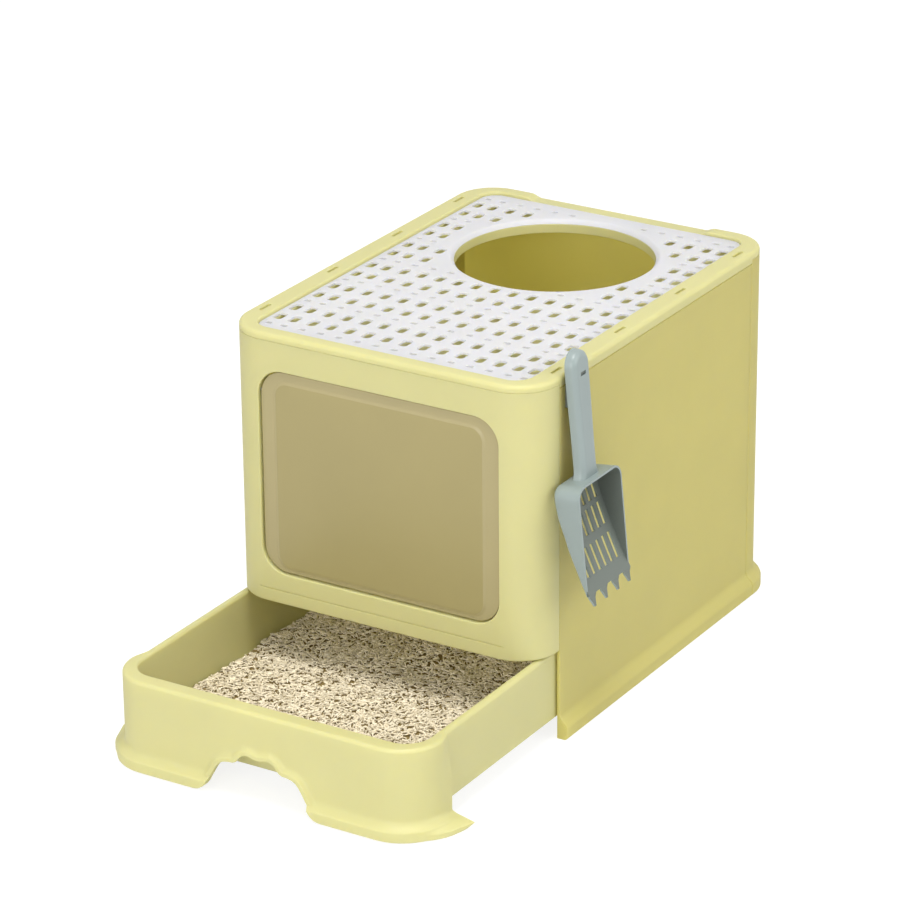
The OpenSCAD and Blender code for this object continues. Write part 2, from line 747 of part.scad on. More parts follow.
// Block of air above the litter; its underside is the litter's faceted surface
swell_nx = 14;
swell_ny = 18;
module litter_air() {
    function at(i, j) = i * (swell_ny + 1) + j;
    x0 = -side_x;
    y0 = apron_y;
    grid = [for (i = [0 : swell_nx], j = [0 : swell_ny])
        let (x = x0 + i * body_w / swell_nx, y = y0 + j * body_d / swell_ny)
            [x, y, litter_top(x, y)]];
    t = len(grid);
    roof = [for (c = [[0, 0], [1, 0], [1, 1], [0, 1]])
        [x0 + c[0] * body_w, y0 + c[1] * body_d, drawer_h + 1]];
    polyhedron(concat(grid, roof), concat(
        [for (i = [0 : swell_nx - 1], j = [0 : swell_ny - 1])
            [at(i, j), at(i + 1, j), at(i + 1, j + 1)]],
        [for (i = [0 : swell_nx - 1], j = [0 : swell_ny - 1])
            [at(i, j), at(i + 1, j + 1), at(i, j + 1)]],
        [[t, t + 3, t + 2, t + 1],
         concat([for (i = [swell_nx : -1 : 0]) at(i, 0)], [t, t + 1]),
         concat([for (i = [0 : swell_nx]) at(i, swell_ny)], [t + 2, t + 3]),
         concat([for (j = [swell_ny : -1 : 0]) at(swell_nx, j)], [t + 1, t + 2]),
         concat([for (j = [0 : swell_ny]) at(0, j)], [t + 3, t])]));
}

// Litter: a bed on the tub's floor with a gently heaped surface
module litter_bed() color(litter) difference() {
    tub_body(-seat, tub_floor + seat, drawer_h);
    litter_air();
}

// ---- scoop and its hook ----

// The scoop's slit sits over the hook's peg
slit_clear = seat + handle_t * sin(scoop_lean) / 2;
slit_w = peg_w + 2 * seat + 1;
slit_h = peg_h + 2 * slit_clear;
slit_drop = 25;
peg_z = scoop_top - slit_drop * cos(scoop_lean) + (handle_t - scoop_t / 2) * sin(scoop_lean);
peg_tip = scoop_x + slit_drop * sin(scoop_lean) + handle_t * cos(scoop_lean) - scoop_t / 2;
hook_top = peg_z + hook_t;
stud_z = [for (d = [8, 20]) hook_top - hook_h + d];

// Hook: a plate seated on the side panel by two snap studs, with a peg for the scoop
module scoop_hook() color(slate) translate([side_x, scoop_mid_y, 0]) {
    translate([seam - eps, -hook_w / 2, hook_top - hook_h]) cube([hook_t, hook_w, hook_h]);
    // Pad between the plate and the panel, below the lid
    translate([0, -hook_w / 2, hook_top - hook_h])
        cube([seam, hook_w, side_top - 1 - hook_top + hook_h]);
    translate([seam, -peg_w / 2, peg_z - peg_h / 2])
        cube([peg_tip - side_x - seam, peg_w, peg_h]);
    for (z = stud_z) translate([-wall - stud_r / 2, 0, z]) rotate([0, 90, 0])
        cylinder(h = wall + stud_r / 2 + seam, r = stud_r);
}

// Side profile of the bowl, drawn in by a wall; over carries it past the open faces
module bowl_side(t, over) {
    slope_t = t / sin(floor_lean);
    polygon(concat(
        [[bowl_rim + over, -bowl_top - t], [bowl_rim + over, slope_t - bowl_end - over],
         [bowl_rim + over, slope_t - bowl_end + over / tan(floor_lean)]],
        arc(bowl_back + t + bowl_heel, -bowl_top - t - bowl_heel, bowl_heel, 180, 90)));
}

// Bowl drawn from its open face: rounded above, square where the teeth begin
module bowl_front(t, over) {
    translate([0, -(bowl_top + bowl_end) / 2])
        round_rect(bowl_w - 2 * t, bowl_l - 2 * t, bowl_r - t);
    translate([t - bowl_w / 2, -bowl_end - over]) square([bowl_w - 2 * t, bowl_l / 2]);
}

module bowl_solid(t, over) {
    intersection() {
        translate([0, bowl_w, 0]) rotate([90, 0, 0]) linear_extrude(2 * bowl_w)
            bowl_side(t, over);
        translate([bowl_back - 1, 0, 0]) rotate([90, 0, 90])
            linear_extrude(bowl_deep + 1 + over) bowl_front(t, over);
    }
}

// Scoop in its own frame: X out of the bowl, Z up the handle, the top end at Z = 0
module scoop_body() {
    difference() {
        bowl_solid(0, 0);
        bowl_solid(scoop_t, 1);
        // Sifting slots, square to the bowl's floor
        translate([bowl_back, 0, -bowl_top - bowl_heel]) rotate([0, -floor_lean, 0])
            for (r = sift_rows, i = [0 : sift_n - 1])
                translate([-bowl_heel, (i - (sift_n - 1) / 2) * sift_pitch - sift_w / 2,
                           -(r[0] + r[1]) * floor_len])
                    cube([2 * bowl_heel, sift_w, r[1] * floor_len]);
    }
    // Teeth, in the plane of the bowl's floor
    translate([bowl_rim, 0, -bowl_end]) rotate([0, -floor_lean, 0])
        rotate([90, 0, 90]) translate([0, 0, -scoop_t / 2]) linear_extrude(scoop_t)
            for (i = [0 : tooth_n - 1])
                translate([(i - (tooth_n - 1) / 2) * tooth_pitch, 0])
                    polygon([[-tooth_w / 2, scoop_t], [-tooth_w / 2, 0],
                             [-tooth_tip / 2, -tooth_l], [tooth_tip / 2, -tooth_l],
                             [tooth_w / 2, 0], [tooth_w / 2, scoop_t]]);
    // Handle: a channel that is open towards the box, with a slit for the hook's peg
    difference() {
        rotate([90, 0, 90]) linear_extrude(handle_t) handle_plan(0);
        translate([-1, 0, 0]) rotate([90, 0, 90]) linear_extrude(handle_t + 1 - scoop_t)
            handle_plan(scoop_t);
        translate([0, -slit_w / 2, -slit_drop - slit_h / 2])
            cube([handle_t + 1, slit_w, slit_h]);
    }
}

// Handle's outline, drawn in by a wall, with its top end at 0
module handle_plan(t) {
    translate([0, -handle_w / 2]) circle(handle_w / 2 - t);
    translate([t - handle_w / 2, -handle_l])
        square([handle_w - 2 * t, handle_l - handle_w / 2]);
}

// Scoop, hanging from the hook's peg by the slit in its handle
module scoop() color(slate) translate([scoop_x, scoop_mid_y, scoop_top])
    rotate([0, -scoop_lean, 0]) scoop_body();

base_tray();
side_panel_left();
side_panel_right();
back_panel();
front_panel();
hinge_pin_left();
hinge_pin_right();
door_flap();
lid();
paw_plate();
drawer();
litter_bed();
scoop_hook();
scoop();
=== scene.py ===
from math import atan2, cos, hypot, pi, radians, sin, sqrt

import bmesh
import bpy
import numpy as np
from mathutils import Matrix, Vector, noise
from mathutils.geometry import delaunay_2d_cdt


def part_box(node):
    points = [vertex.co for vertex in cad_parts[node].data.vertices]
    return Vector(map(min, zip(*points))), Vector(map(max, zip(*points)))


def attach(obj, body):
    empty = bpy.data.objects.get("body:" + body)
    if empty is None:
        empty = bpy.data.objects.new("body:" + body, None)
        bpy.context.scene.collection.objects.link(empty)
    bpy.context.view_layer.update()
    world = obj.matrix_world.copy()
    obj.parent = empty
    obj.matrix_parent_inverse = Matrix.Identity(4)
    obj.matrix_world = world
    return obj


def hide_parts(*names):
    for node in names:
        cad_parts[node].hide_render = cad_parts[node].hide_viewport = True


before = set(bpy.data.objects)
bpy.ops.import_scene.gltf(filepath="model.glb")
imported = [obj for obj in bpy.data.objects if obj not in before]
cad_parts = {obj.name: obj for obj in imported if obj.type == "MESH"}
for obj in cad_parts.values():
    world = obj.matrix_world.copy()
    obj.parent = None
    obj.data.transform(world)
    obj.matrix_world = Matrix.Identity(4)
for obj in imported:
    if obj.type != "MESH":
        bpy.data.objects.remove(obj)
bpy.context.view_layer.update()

bl_info = {
    "name": "Drawer litter box",
    "version": (1, 0, 0),
    "blender": (4, 5, 0),
    "location": "View3D > Sidebar > Litter box",
    "description": "Builds a closed litter box with a drawer, a paw plate, a door flap and a scoop",
    "category": "Add Mesh",
}


# ---- colours, sizes and small sums ----

def linear(code):
    """Linear colour of an sRGB hex code."""
    parts = [int(code[i:i + 2], 16) / 255 for i in (1, 3, 5)]
    return tuple(c / 12.92 if c <= 0.04045 else ((c + 0.055) / 1.055) ** 2.4 for c in parts)


def mm_box(node):
    """Lowest and highest corner of a CAD node, in millimetres."""
    return [[1000 * v for v in corner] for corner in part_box(node)]


def smooth(t):
    """0 to 1 with soft ends."""
    t = min(max(t, 0), 1)
    return t * t * (3 - 2 * t)


def bend(t):
    """1 to 0 along half a cosine."""
    return (1 + cos(pi * min(max(t, 0), 1))) / 2


def arc(cx, cy, r, start, end, steps):
    """Points of an arc, with its angles in degrees."""
    angles = (radians(start + (end - start) * i / steps) for i in range(steps + 1))
    return [(cx + r * cos(a), cy + r * sin(a)) for a in angles]


def round_off(u, r):
    """How far a rounded end of radius r has drawn in, at the distance u from the end."""
    return r - sqrt(max(r * r - (r - min(u, r)) ** 2, 0))


# The main planes come from the CAD nodes
lid_low, lid_high = mm_box("lid")
drawer_low, drawer_high = mm_box("drawer")
plate_low, plate_high = mm_box("paw_plate")
flap_low, flap_high = mm_box("door_flap")
panel_low, panel_high = mm_box("front_panel")
SIDE, BACK, TOP = lid_high
FRONT = lid_low[1]
PANEL_TOP, PANEL_BOTTOM = panel_high[2], panel_low[2]
# How far the front and back panels are turned in along their edges, how far they run on past
# the corners, and the seams between them and the side panels
RETURN, PAST_FRONT, PAST_BACK, SEAM_FRONT, SEAM_BACK = 13.9, 4, 6, 0.3, 0.8
# The plate's corners, and the lid's recess, in which it lies with a little play
PLATE_R, PLATE_PLAY = 20, 0.3
RECESS_X, RECESS_Y = plate_high[0] + PLATE_PLAY, plate_high[1] + PLATE_PLAY
RECESS_R = PLATE_R + PLATE_PLAY
# Middle of the cat's hole
HOLE_Y = 106
# Snap tabs of the side panels: their middles along the box, and how far inside its sides
TAB_STOPS, TAB_IN = (-196.5, -65.5, 65.5, 196.5), 12
# Flap: its play in the doorway, the doorway's middle and corner radius, and the hinge's axis
FLAP_PLAY = 1.5
DOOR_MID = (flap_low[2] + flap_high[2]) / 2
DOOR_R = 30
HINGE_Y, HINGE_Z = FRONT + 6.1, flap_high[2] - 24.5


def metres(name, description, default, low, high):
    """A size in metres that a user can change."""
    return bpy.props.FloatProperty(name=name, description=description, default=default,
                                   min=low, max=high, subtype="DISTANCE", unit="LENGTH")


def hex_colour(name, description, code):
    """A colour that a user can change."""
    return bpy.props.FloatVectorProperty(name=name, description=description, size=3, min=0,
                                         max=1, default=linear(code), subtype="COLOR")


class LitterBoxSizes(bpy.types.PropertyGroup):
    wall: metres("Wall", "Thickness of the moulded panels", 0.003, 0.002, 0.004)
    corner: metres("Corner radius", "Radius of the upright corners of the box",
                   0.046, 0.03, 0.055)
    flare: metres("Foot flare", "How far the feet stand out from the walls",
                  0.009, 0.004, 0.009)
    foot: metres("Foot height", "Height of the flared feet", 0.028, 0.02, 0.034)
    lid_round: metres("Lid rounding", "Radius of the lid's outer top edge",
                      0.0045, 0.003, 0.007)
    door_round: metres("Doorway rounding", "Radius of the edge round the doorway",
                       0.0012, 0.0005, 0.0015)
    hole_round: metres("Plate hole rounding", "Corner radius of the long holes in the paw plate",
                       0.0036, 0.001, 0.005)
    bead: metres("Hand hole bead", "How far the bead round the hand hole stands out",
                 0.0045, 0.0, 0.006)
    pellet_l: metres("Pellet length", "Usual length of a litter pellet", 0.0063, 0.004, 0.015)
    pellet_d: metres("Pellet thickness", "Thickness of a litter pellet", 0.0015, 0.001, 0.004)
    pellets: bpy.props.IntProperty(
        name="Pellets", description="Number of loose pellets on the bed",
        default=21000, min=1000, max=30000)


class LitterBoxColours(bpy.types.PropertyGroup):
    # The panel and side colours are a lit and a shaded copy of one plastic: the panel colour is paler
    # and less saturated, a painted sheen on the front-facing pieces, and the side colour more
    # saturated, painted shade on the side and back panels.
    panel: hex_colour("Panels", "Colour of the front panel, the lid, the drawer and the base tray",
                      "#DFDBA3")
    side: hex_colour("Side panels", "Colour of the side panels and the back panel", "#E3DC95")
    # The catch tray's colour is paler than the panels as painted light: it brightens the tray seen
    # through the paw plate's holes, where shade falls.
    tray: hex_colour("Catch tray", "Colour of the lid's tray under the paw plate", "#F2EEB0")
    plate: hex_colour("Paw plate", "Colour of the perforated plate", "#E6E6EA")
    flap: hex_colour("Flap", "Colour of the flap's raised middle", "#928759")
    flap_edge: hex_colour("Flap border", "Colour of the flap's border", "#9A8F66")
    scoop: hex_colour("Scoop", "Colour of the scoop's outer faces", "#828D8B")
    # The scoop's inner colour is darker as painted shade: it darkens the bowl's inner faces, and the
    # hook, which shows as a painted shadow beside the handle and in its slit.
    scoop_painted_shade: hex_colour("Scoop, inside", "Colour of the scoop's duller inner faces and its hook",
                             "#5F665F")
    pellet: hex_colour("Litter", "Colour of the palest pellets", "#FBF0D8")
    # This colour is both the darkest pellets' own tone and painted shade: the bed under the pellets
    # takes it whole, as painted shade in the gaps between them.
    pellet_dark_and_gap_shade: hex_colour("Litter, dark", "Colour of the darkest pellets and of the bed below",
                            "#8C794C")
    pin: hex_colour("Hinge pins", "Colour of the steel hinge pins", "#BFC1C4")


def size(name):
    """One of the sizes, in millimetres."""
    return 1000 * getattr(bpy.context.scene.litter_box_sizes, name)


def colour(name, shade=1.0):
    """One of the colours with an alpha, scaled by a shade."""
    values = getattr(bpy.context.scene.litter_box_colours, name)
    return (*(min(v * shade, 1) for v in values), 1)


# ---- outlines ----

def ring(w, l, r, steps, xs=(), ys=()):
    """Rounded rectangle, anticlockwise from its front right corner, with stops on its sides."""
    hw, hl, r = w / 2, l / 2, max(r, 0.01)

    def corner(sx, sy, start):
        return arc(sx * (hw - r), sy * (hl - r), r, start, start + 90, steps)

    return (corner(1, -1, -90) + [(hw, y) for y in ys]
            + corner(1, 1, 0) + [(x, hl) for x in reversed(xs)]
            + corner(-1, 1, 90) + [(-hw, y) for y in reversed(ys)]
            + corner(-1, -1, 180) + [(x, -hl) for x in xs])


def circle(r, steps, cy=0):
    """Points of a circle about the line x = 0."""
    return arc(0, cy, r, 0, 360, steps)[:-1]


def at_height(points, z):
    """Plan points at one height, or at the height that a function gives."""
    return [(x, y, z(x, y) if callable(z) else z) for x, y in points]


def upright(points, y, z0):
    """Points drawn from the front, stood up in the plane y."""
    return [(x, y, z0 + z) for x, z in points]


def wrap(s, d, rear=False):
    """Plan point at the distance s along the box's end and round its corners, d inside its face."""
    r = size("corner")
    flat, turn = SIDE - r, r * pi / 2
    a = abs(s) - flat
    if a <= 0:
        x, y = abs(s), FRONT + d
    elif a <= turn:
        x, y = flat + (r - d) * sin(a / r), FRONT + r - (r - d) * cos(a / r)
    else:
        x, y = SIDE - d, FRONT + r + a - turn
    return (x if s >= 0 else -x), (-y if rear else y)


def wrap_stops(straight):
    """Stops along a wrapped panel, close together where it turns and at its ends."""
    r = size("corner")
    flat, end = SIDE - r, SIDE - r + r * pi / 2 + straight
    half = [k * flat / 4 for k in range(1, 5)]
    half += [flat + r * pi / 2 * k / 18 for k in range(1, 19)]
    half += [end - u for u in (1.2, 0.8, 0.45, 0.2, 0.05, 0)]
    return [-s for s in reversed(half)] + [0] + half, end


def foot_profile(out):
    """Outer face of a flared foot as pairs of how far out it stands and its height: a rounded
    toe, an upright belly and a soft rise to the wall."""
    foot, belly, toe = size("foot"), 13, 3
    rise = [(out * bend(k / 12), belly + (foot - belly) * k / 12) for k in range(13)]
    return arc(out - toe, toe, toe, -90, 0, 5) + rise


# ---- meshes ----

class Shape:
    """Points and faces of one piece, in millimetres."""

    def __init__(self):
        self.points, self.faces, self.slots = [], [], []

    def add(self, points, faces, slots=None):
        base = len(self.points)
        self.points += points
        self.faces += [tuple(base + i for i in face) for face in faces]
        self.slots += slots or [0] * len(faces)
        return self

    def loft(self, rings, ends=True, around=True, loop=False, slot=lambda row: 0, skip=()):
        """Skins a row of rings. The function slot gives each row's material; skip names pairs of
        a ring and a point whose face is left out."""
        n, rows = len(rings[0]), len(rings)
        faces, slots = [], []
        for i in range(rows if loop else rows - 1):
            a, b = i * n, (i + 1) % rows * n
            quads = [(a + j, a + (j + 1) % n, b + (j + 1) % n, b + j)
                     for j in range(n if around else n - 1) if (i, j) not in skip]
            faces += quads
            slots += [slot(i)] * len(quads)
        if ends and not loop:
            faces += [tuple(range(n - 1, -1, -1)), tuple(range((rows - 1) * n, rows * n))]
            slots += [slot(0), slot(rows - 2)]
        return self.add([p for r in rings for p in r], faces, slots)

    def rod(self, start, end, r):
        """Round rod between two points, with softened ends."""
        steps, soft = 16, 0.4
        a, b = Vector(start), Vector(end)
        turn = (b - a).to_track_quat("Z", "Y")
        length = (b - a).length
        rows = [(0, r - soft), (soft, r), (length - soft, r), (length, r - soft)]
        return self.loft([[tuple(a + turn @ Vector((x, y, h))) for x, y in circle(q, steps)]
                          for h, q in rows])

    def object(self, name):
        mesh = bpy.data.meshes.new(name)
        mesh.from_pydata([(x / 1000, y / 1000, z / 1000) for x, y, z in self.points],
                         [], self.faces)
        mesh.polygons.foreach_set("material_index", self.slots)
        obj = bpy.data.objects.new(name, mesh)
        bpy.context.scene.collection.objects.link(obj)
        return obj


def clean(obj, recalculate=True, close=False):
    """Joins points that meet, closes holes if asked to, and turns the faces outwards."""
    bm = bmesh.new()
    bm.from_mesh(obj.data)
    bmesh.ops.remove_doubles(bm, verts=bm.verts, dist=2e-6)
    bmesh.ops.dissolve_degenerate(bm, edges=bm.edges, dist=1e-6)
    if close:
        bmesh.ops.holes_fill(bm, edges=[e for e in bm.edges if e.is_boundary])
    if recalculate:
        bmesh.ops.recalc_face_normals(bm, faces=bm.faces)
    bm.to_mesh(obj.data)
    bm.free()


def bake(obj):
    """Puts an object's modifiers into its mesh."""
    view = bpy.context.evaluated_depsgraph_get()
    mesh = bpy.data.meshes.new_from_object(obj.evaluated_get(view))
    obj.modifiers.clear()
    old, obj.data = obj.data, mesh
    bpy.data.meshes.remove(old)
    mesh.name = obj.name


def cut(obj, shape):
    """Cuts a shape out of an object."""
    tool = shape.object("cutter")
    clean(tool)
    modifier = obj.modifiers.new("cut", "BOOLEAN")
    modifier.object, modifier.operation, modifier.solver = tool, "DIFFERENCE", "EXACT"
    bake(obj)
    bpy.data.objects.remove(tool)


def join(mesh, extra):
    """Adds a second mesh to a mesh."""
    bm = bmesh.new()
    bm.from_mesh(mesh)
    bm.from_mesh(extra)
    bm.to_mesh(mesh)
    bm.free()


def finish_piece(obj, materials, body, nodes, sharp=32):
    """Shades a piece, gives it its materials, and hangs it on its body in place of its nodes."""
    places = [polygon.material_index for polygon in obj.data.polygons]
    obj.data.materials.clear()
    for material in materials:
        obj.data.materials.append(material)
    obj.data.polygons.foreach_set("material_index", places)
    obj.data.polygons.foreach_set("use_smooth", [True] * len(places))
    obj.data.set_sharp_from_angle(angle=radians(sharp))
    normals = obj.modifiers.new("weighted normals", "WEIGHTED_NORMAL")
    normals.keep_sharp = True
    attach(obj, body)
    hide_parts(*nodes)


# ---- materials ----

def add_node(tree, kind, values):
    """Adds a node. A value is a setting, a socket's value, or a node and its output to link."""
    node = tree.nodes.new(kind)
    for key, value in values.items():
        if isinstance(value, tuple) and isinstance(value[0], bpy.types.Node):
            tree.links.new(value[0].outputs[value[1]], node.inputs[key])
        elif isinstance(key, str) and hasattr(node, key):
            setattr(node, key, value)
        else:
            node.inputs[key].default_value = value
    return node


def start_material(name):
    """A material with an empty node tree. One that is there already starts again."""
    material = bpy.data.materials.get(name) or bpy.data.materials.new(name)
    material.use_nodes = True
    material.node_tree.nodes.clear()
    return material, material.node_tree


def end_material(tree, shader):
    add_node(tree, "ShaderNodeOutputMaterial", {"Surface": (shader, 0)})


def drifting(tree, place, key, scale, detail, dark, pale):
    """One of the colours, flowing unevenly between a darker and a paler shade of itself."""
    flow = add_node(tree, "ShaderNodeTexNoise",
                    {"Scale": scale, "Detail": detail, "Vector": (place, "Object")})
    return add_node(tree, "ShaderNodeMix", {"data_type": "RGBA", 0: (flow, 0),
                                            6: colour(key, dark), 7: colour(key, pale)})


def grained(tree, vector, scale, detail, strength, height):
    """A fine grain and the relief that it makes; the relief's height is in metres."""
    grain = add_node(tree, "ShaderNodeTexNoise",
                     {"Scale": scale, "Detail": detail, "Vector": vector})
    bump = add_node(tree, "ShaderNodeBump",
                    {"Strength": strength, "Distance": height, "Height": (grain, 0)})
    return grain, bump


def polypropylene(name, key, rough=0.42, rippled=False, glow=0.35, through=0.42):
    """Moulded polypropylene: a satin skin with a fine spark-eroded grain, and a colour that
    flows a little unevenly, so that highlights are broad and soft. Its walls let some light
    through, which warms the inside of the box."""
    material, tree = start_material(name)
    place = add_node(tree, "ShaderNodeTexCoord", {})
    # Flow marks about 70 mm across
    tone = drifting(tree, place, key, 14.0, 2.0, 0.955, 1.02)
    # Moulded grain is near 0.3 mm; it is drawn 1.2 mm across so that it shows
    grain, bump = grained(tree, (place, "Object"), 820.0, 3.0, 0.12, 0.00012)
    sheen = add_node(tree, "ShaderNodeMapRange",
                     {"To Min": rough - 0.05, "To Max": rough + 0.05, "Value": (grain, 0)})
    if rippled:
        bump = ripples(tree, place, bump)
    shader = add_node(tree, "ShaderNodeBsdfPrincipled",
                      {"IOR": 1.49, "Subsurface Weight": glow, "Subsurface Scale": 0.004,
                       "Subsurface Radius": (1.0, 0.85, 0.45), "Base Color": (tone, 2),
                       "Roughness": (sheen, 0), "Normal": (bump, 0)})
    if through:
        wall = add_node(tree, "ShaderNodeBsdfTranslucent", {"Color": (tone, 2)})
        shader = add_node(tree, "ShaderNodeMixShader", {0: through, 1: (shader, 0), 2: (wall, 0)})
    end_material(tree, shader)
    return material


def ripples(tree, place, bump):
    """Faint, uneven upright ripples, some 15 to 35 mm apart, on the upper part of a side panel."""
    stretch = add_node(tree, "ShaderNodeMapping",
                       {"Scale": (1.0, 42.0, 1.5), "Vector": (place, "Object")})
    waves = add_node(tree, "ShaderNodeTexNoise",
                     {"Scale": 1.0, "Detail": 1.5, "Vector": (stretch, 0)})
    split = add_node(tree, "ShaderNodeSeparateXYZ", {0: (place, "Object")})
    upper = add_node(tree, "ShaderNodeMapRange",
                     {"From Min": 0.16, "From Max": 0.24, "Value": (split, "Z")})
    height = add_node(tree, "ShaderNodeMath",
                      {"operation": "MULTIPLY", 0: (waves, 0), 1: (upper, 0)})
    return add_node(tree, "ShaderNodeBump", {"Strength": 0.6, "Distance": 0.0016,
                                             "Height": (height, 0), "Normal": (bump, 0)})


def smoked_plastic(name, key, rough):
    """Smoke-tinted polypropylene sheet: dull and a little cloudy, with a soft sheen."""
    material, tree = start_material(name)
    place = add_node(tree, "ShaderNodeTexCoord", {})
    # Clouds in the sheet, about 90 mm across, under a grain of 1.5 mm
    tone = drifting(tree, place, key, 11.0, 3.0, 0.93, 1.05)
    _, bump = grained(tree, (place, "Object"), 650.0, 2.0, 0.06, 0.0001)
    shader = add_node(tree, "ShaderNodeBsdfPrincipled",
                      {"IOR": 1.49, "Roughness": rough, "Base Color": (tone, 2),
                       "Normal": (bump, 0)})
    end_material(tree, shader)
    return material


def drawn_steel(name, key):
    """Drawn steel wire: bright, with fine lines along it."""
    material, tree = start_material(name)
    place = add_node(tree, "ShaderNodeTexCoord", {})
    # Drawing lines run along X, about 0.2 mm apart
    stretch = add_node(tree, "ShaderNodeMapping",
                       {"Scale": (60.0, 5000.0, 5000.0), "Vector": (place, "Object")})
    lines, bump = grained(tree, (stretch, 0), 1.0, 2.0, 0.1, 0.00005)
    rough = add_node(tree, "ShaderNodeMapRange",
                     {"To Min": 0.25, "To Max": 0.4, "Value": (lines, 0)})
    shader = add_node(tree, "ShaderNodeBsdfPrincipled",
                      {"Metallic": 1.0, "Base Color": colour(key), "Roughness": (rough, 0),
                       "Normal": (bump, 0)})
    end_material(tree, shader)
    return material


def pressed_pellets(name):
    """Pressed wood and bean-fibre pellets: dry, chalky rods that differ from one to the next."""
    material, tree = start_material(name)
    place = add_node(tree, "ShaderNodeTexCoord", {})
    tone = add_node(tree, "ShaderNodeAttribute", {"attribute_name": "tone"})
    # Tone 0, which the bed has, is painted shade between the pellets; the pellets' own tones differ
    # at random.
    mixed = add_node(tree, "ShaderNodeMix",
                     {"data_type": "RGBA", 0: (tone, "Fac"), 6: colour("pellet_dark_and_gap_shade"),
                      7: colour("pellet")})
    # Fibres about 0.6 mm across
    fibre, bump = grained(tree, (place, "Object"), 1600.0, 2.0, 0.3, 0.0002)
    speck = add_node(tree, "ShaderNodeMapRange",
                     {"To Min": 0.86, "To Max": 1.1, "Value": (fibre, 0)})
    shaded = add_node(tree, "ShaderNodeMix", {"data_type": "RGBA", "blend_type": "MULTIPLY",
                                              0: 1.0, 6: (mixed, 2), 7: (speck, 0)})
    shader = add_node(tree, "ShaderNodeBsdfPrincipled",
                      {"IOR": 1.4, "Roughness": 0.85, "Base Color": (shaded, 2),
                       "Normal": (bump, 0)})
    end_material(tree, shader)
    return material


# The panel colour is paler than the side colour as a painted sheen on the front-facing pieces.
def panel_plastic():
    return polypropylene("moulded_polypropylene_butter", "panel")


# Darker slate for the scoop's inner faces and its hook: painted shade.
def slate_painted_shade():
    return polypropylene("moulded_abs_slate_inside", "scoop_painted_shade", rough=0.5, glow=0, through=0)


# ---- panels ----

class LITTERBOX_OT_front_panel(bpy.types.Operator):
    """Front panel that wraps both front corners, with the doorway, its frame and a groove"""
    bl_idname = "litterbox.front_panel"
    bl_label = "Front panel"

    # Groove across the front: its middle, depth, and where it ends at each side
    GROOVE_Z, GROOVE_DEEP, GROOVE_END = 118, 1.2, 148
    # Width of the slope at the groove's end
    GROOVE_RUN = 4

    def execute(self, context):
        stops, end = wrap_stops(PAST_FRONT)
        panel = Shape().loft([self.section(s, end) for s in stops]).object("front_panel_moulding")
        clean(panel)
        edge = size("door_round")
        steps = [(-0.6, edge + 0.6)]
        steps += [(edge * k / 6, round_off(edge * k / 6, edge)) for k in range(7)]
        steps += [(edge + 4, 0)]
        cut(panel, doorway_skin(steps))
        rim = doorway_skin([(2.9, 0), (11.2, 0), (11.8, 0.3), (12, 0.9), (12, 1.8), (11.6, 2.5),
                            (2.4, 2.5)], loop=True)
        # A boss takes each hinge pin
        at_hinge(rim, 146.3, 152.7, 3.6)
        extra = rim.object("doorway_frame")
        clean(extra)
        join(panel.data, extra.data)
        bpy.data.objects.remove(extra)
        finish_piece(panel, [panel_plastic()], "box", ["front_panel"])
        return {"FINISHED"}

    def section(self, s, end):
        """Section of the panel at the distance s along it: its face, then its inner side."""
        wall, top, low = size("wall"), PANEL_TOP, PANEL_BOTTOM
        drawn = round_off(end - abs(s), 1.2)
        deep = self.GROOVE_DEEP * (1 - smooth((abs(s) - self.GROOVE_END) / self.GROOVE_RUN))
        points = arc(2.2, low + 2.2, 2.2, 270, 180, 5)
        points += [(share * deep, self.GROOVE_Z + up) for share, up in (
            (0, -1.0), (0.15, -0.7), (1, -0.5), (1, 0.5), (0.15, 0.7), (0, 1.0))]
        points += arc(0.4, top - 0.4, 0.4, 180, 90, 3)
        points += [(RETURN, top), (RETURN, top - wall), (wall + 1, top - wall),
                   (wall, top - wall - 1), (wall, low + wall + 1), (wall + 1, low + wall),
                   (RETURN, low + wall), (RETURN, low)]
        return [(*wrap(s, max(d, drawn)), z) for d, z in points]


def at_hinge(shape, start, end, r):
    """A round rod on the hinge's axis at each side, between two distances from the middle."""
    for side in (-1, 1):
        shape.rod((side * start, HINGE_Y, HINGE_Z), (side * end, HINGE_Y, HINGE_Z), r)


def doorway_skin(steps, loop=False):
    """Skin through the doorway's outline at pairs of a depth behind the front and a growth."""
    w, h = 2 * (flap_high[0] + FLAP_PLAY), flap_high[2] - flap_low[2] + 2 * FLAP_PLAY
    return Shape().loft([upright(ring(w + 2 * grow, h + 2 * grow, DOOR_R + grow, 16),
                                 FRONT + depth, DOOR_MID) for depth, grow in steps], loop=loop)


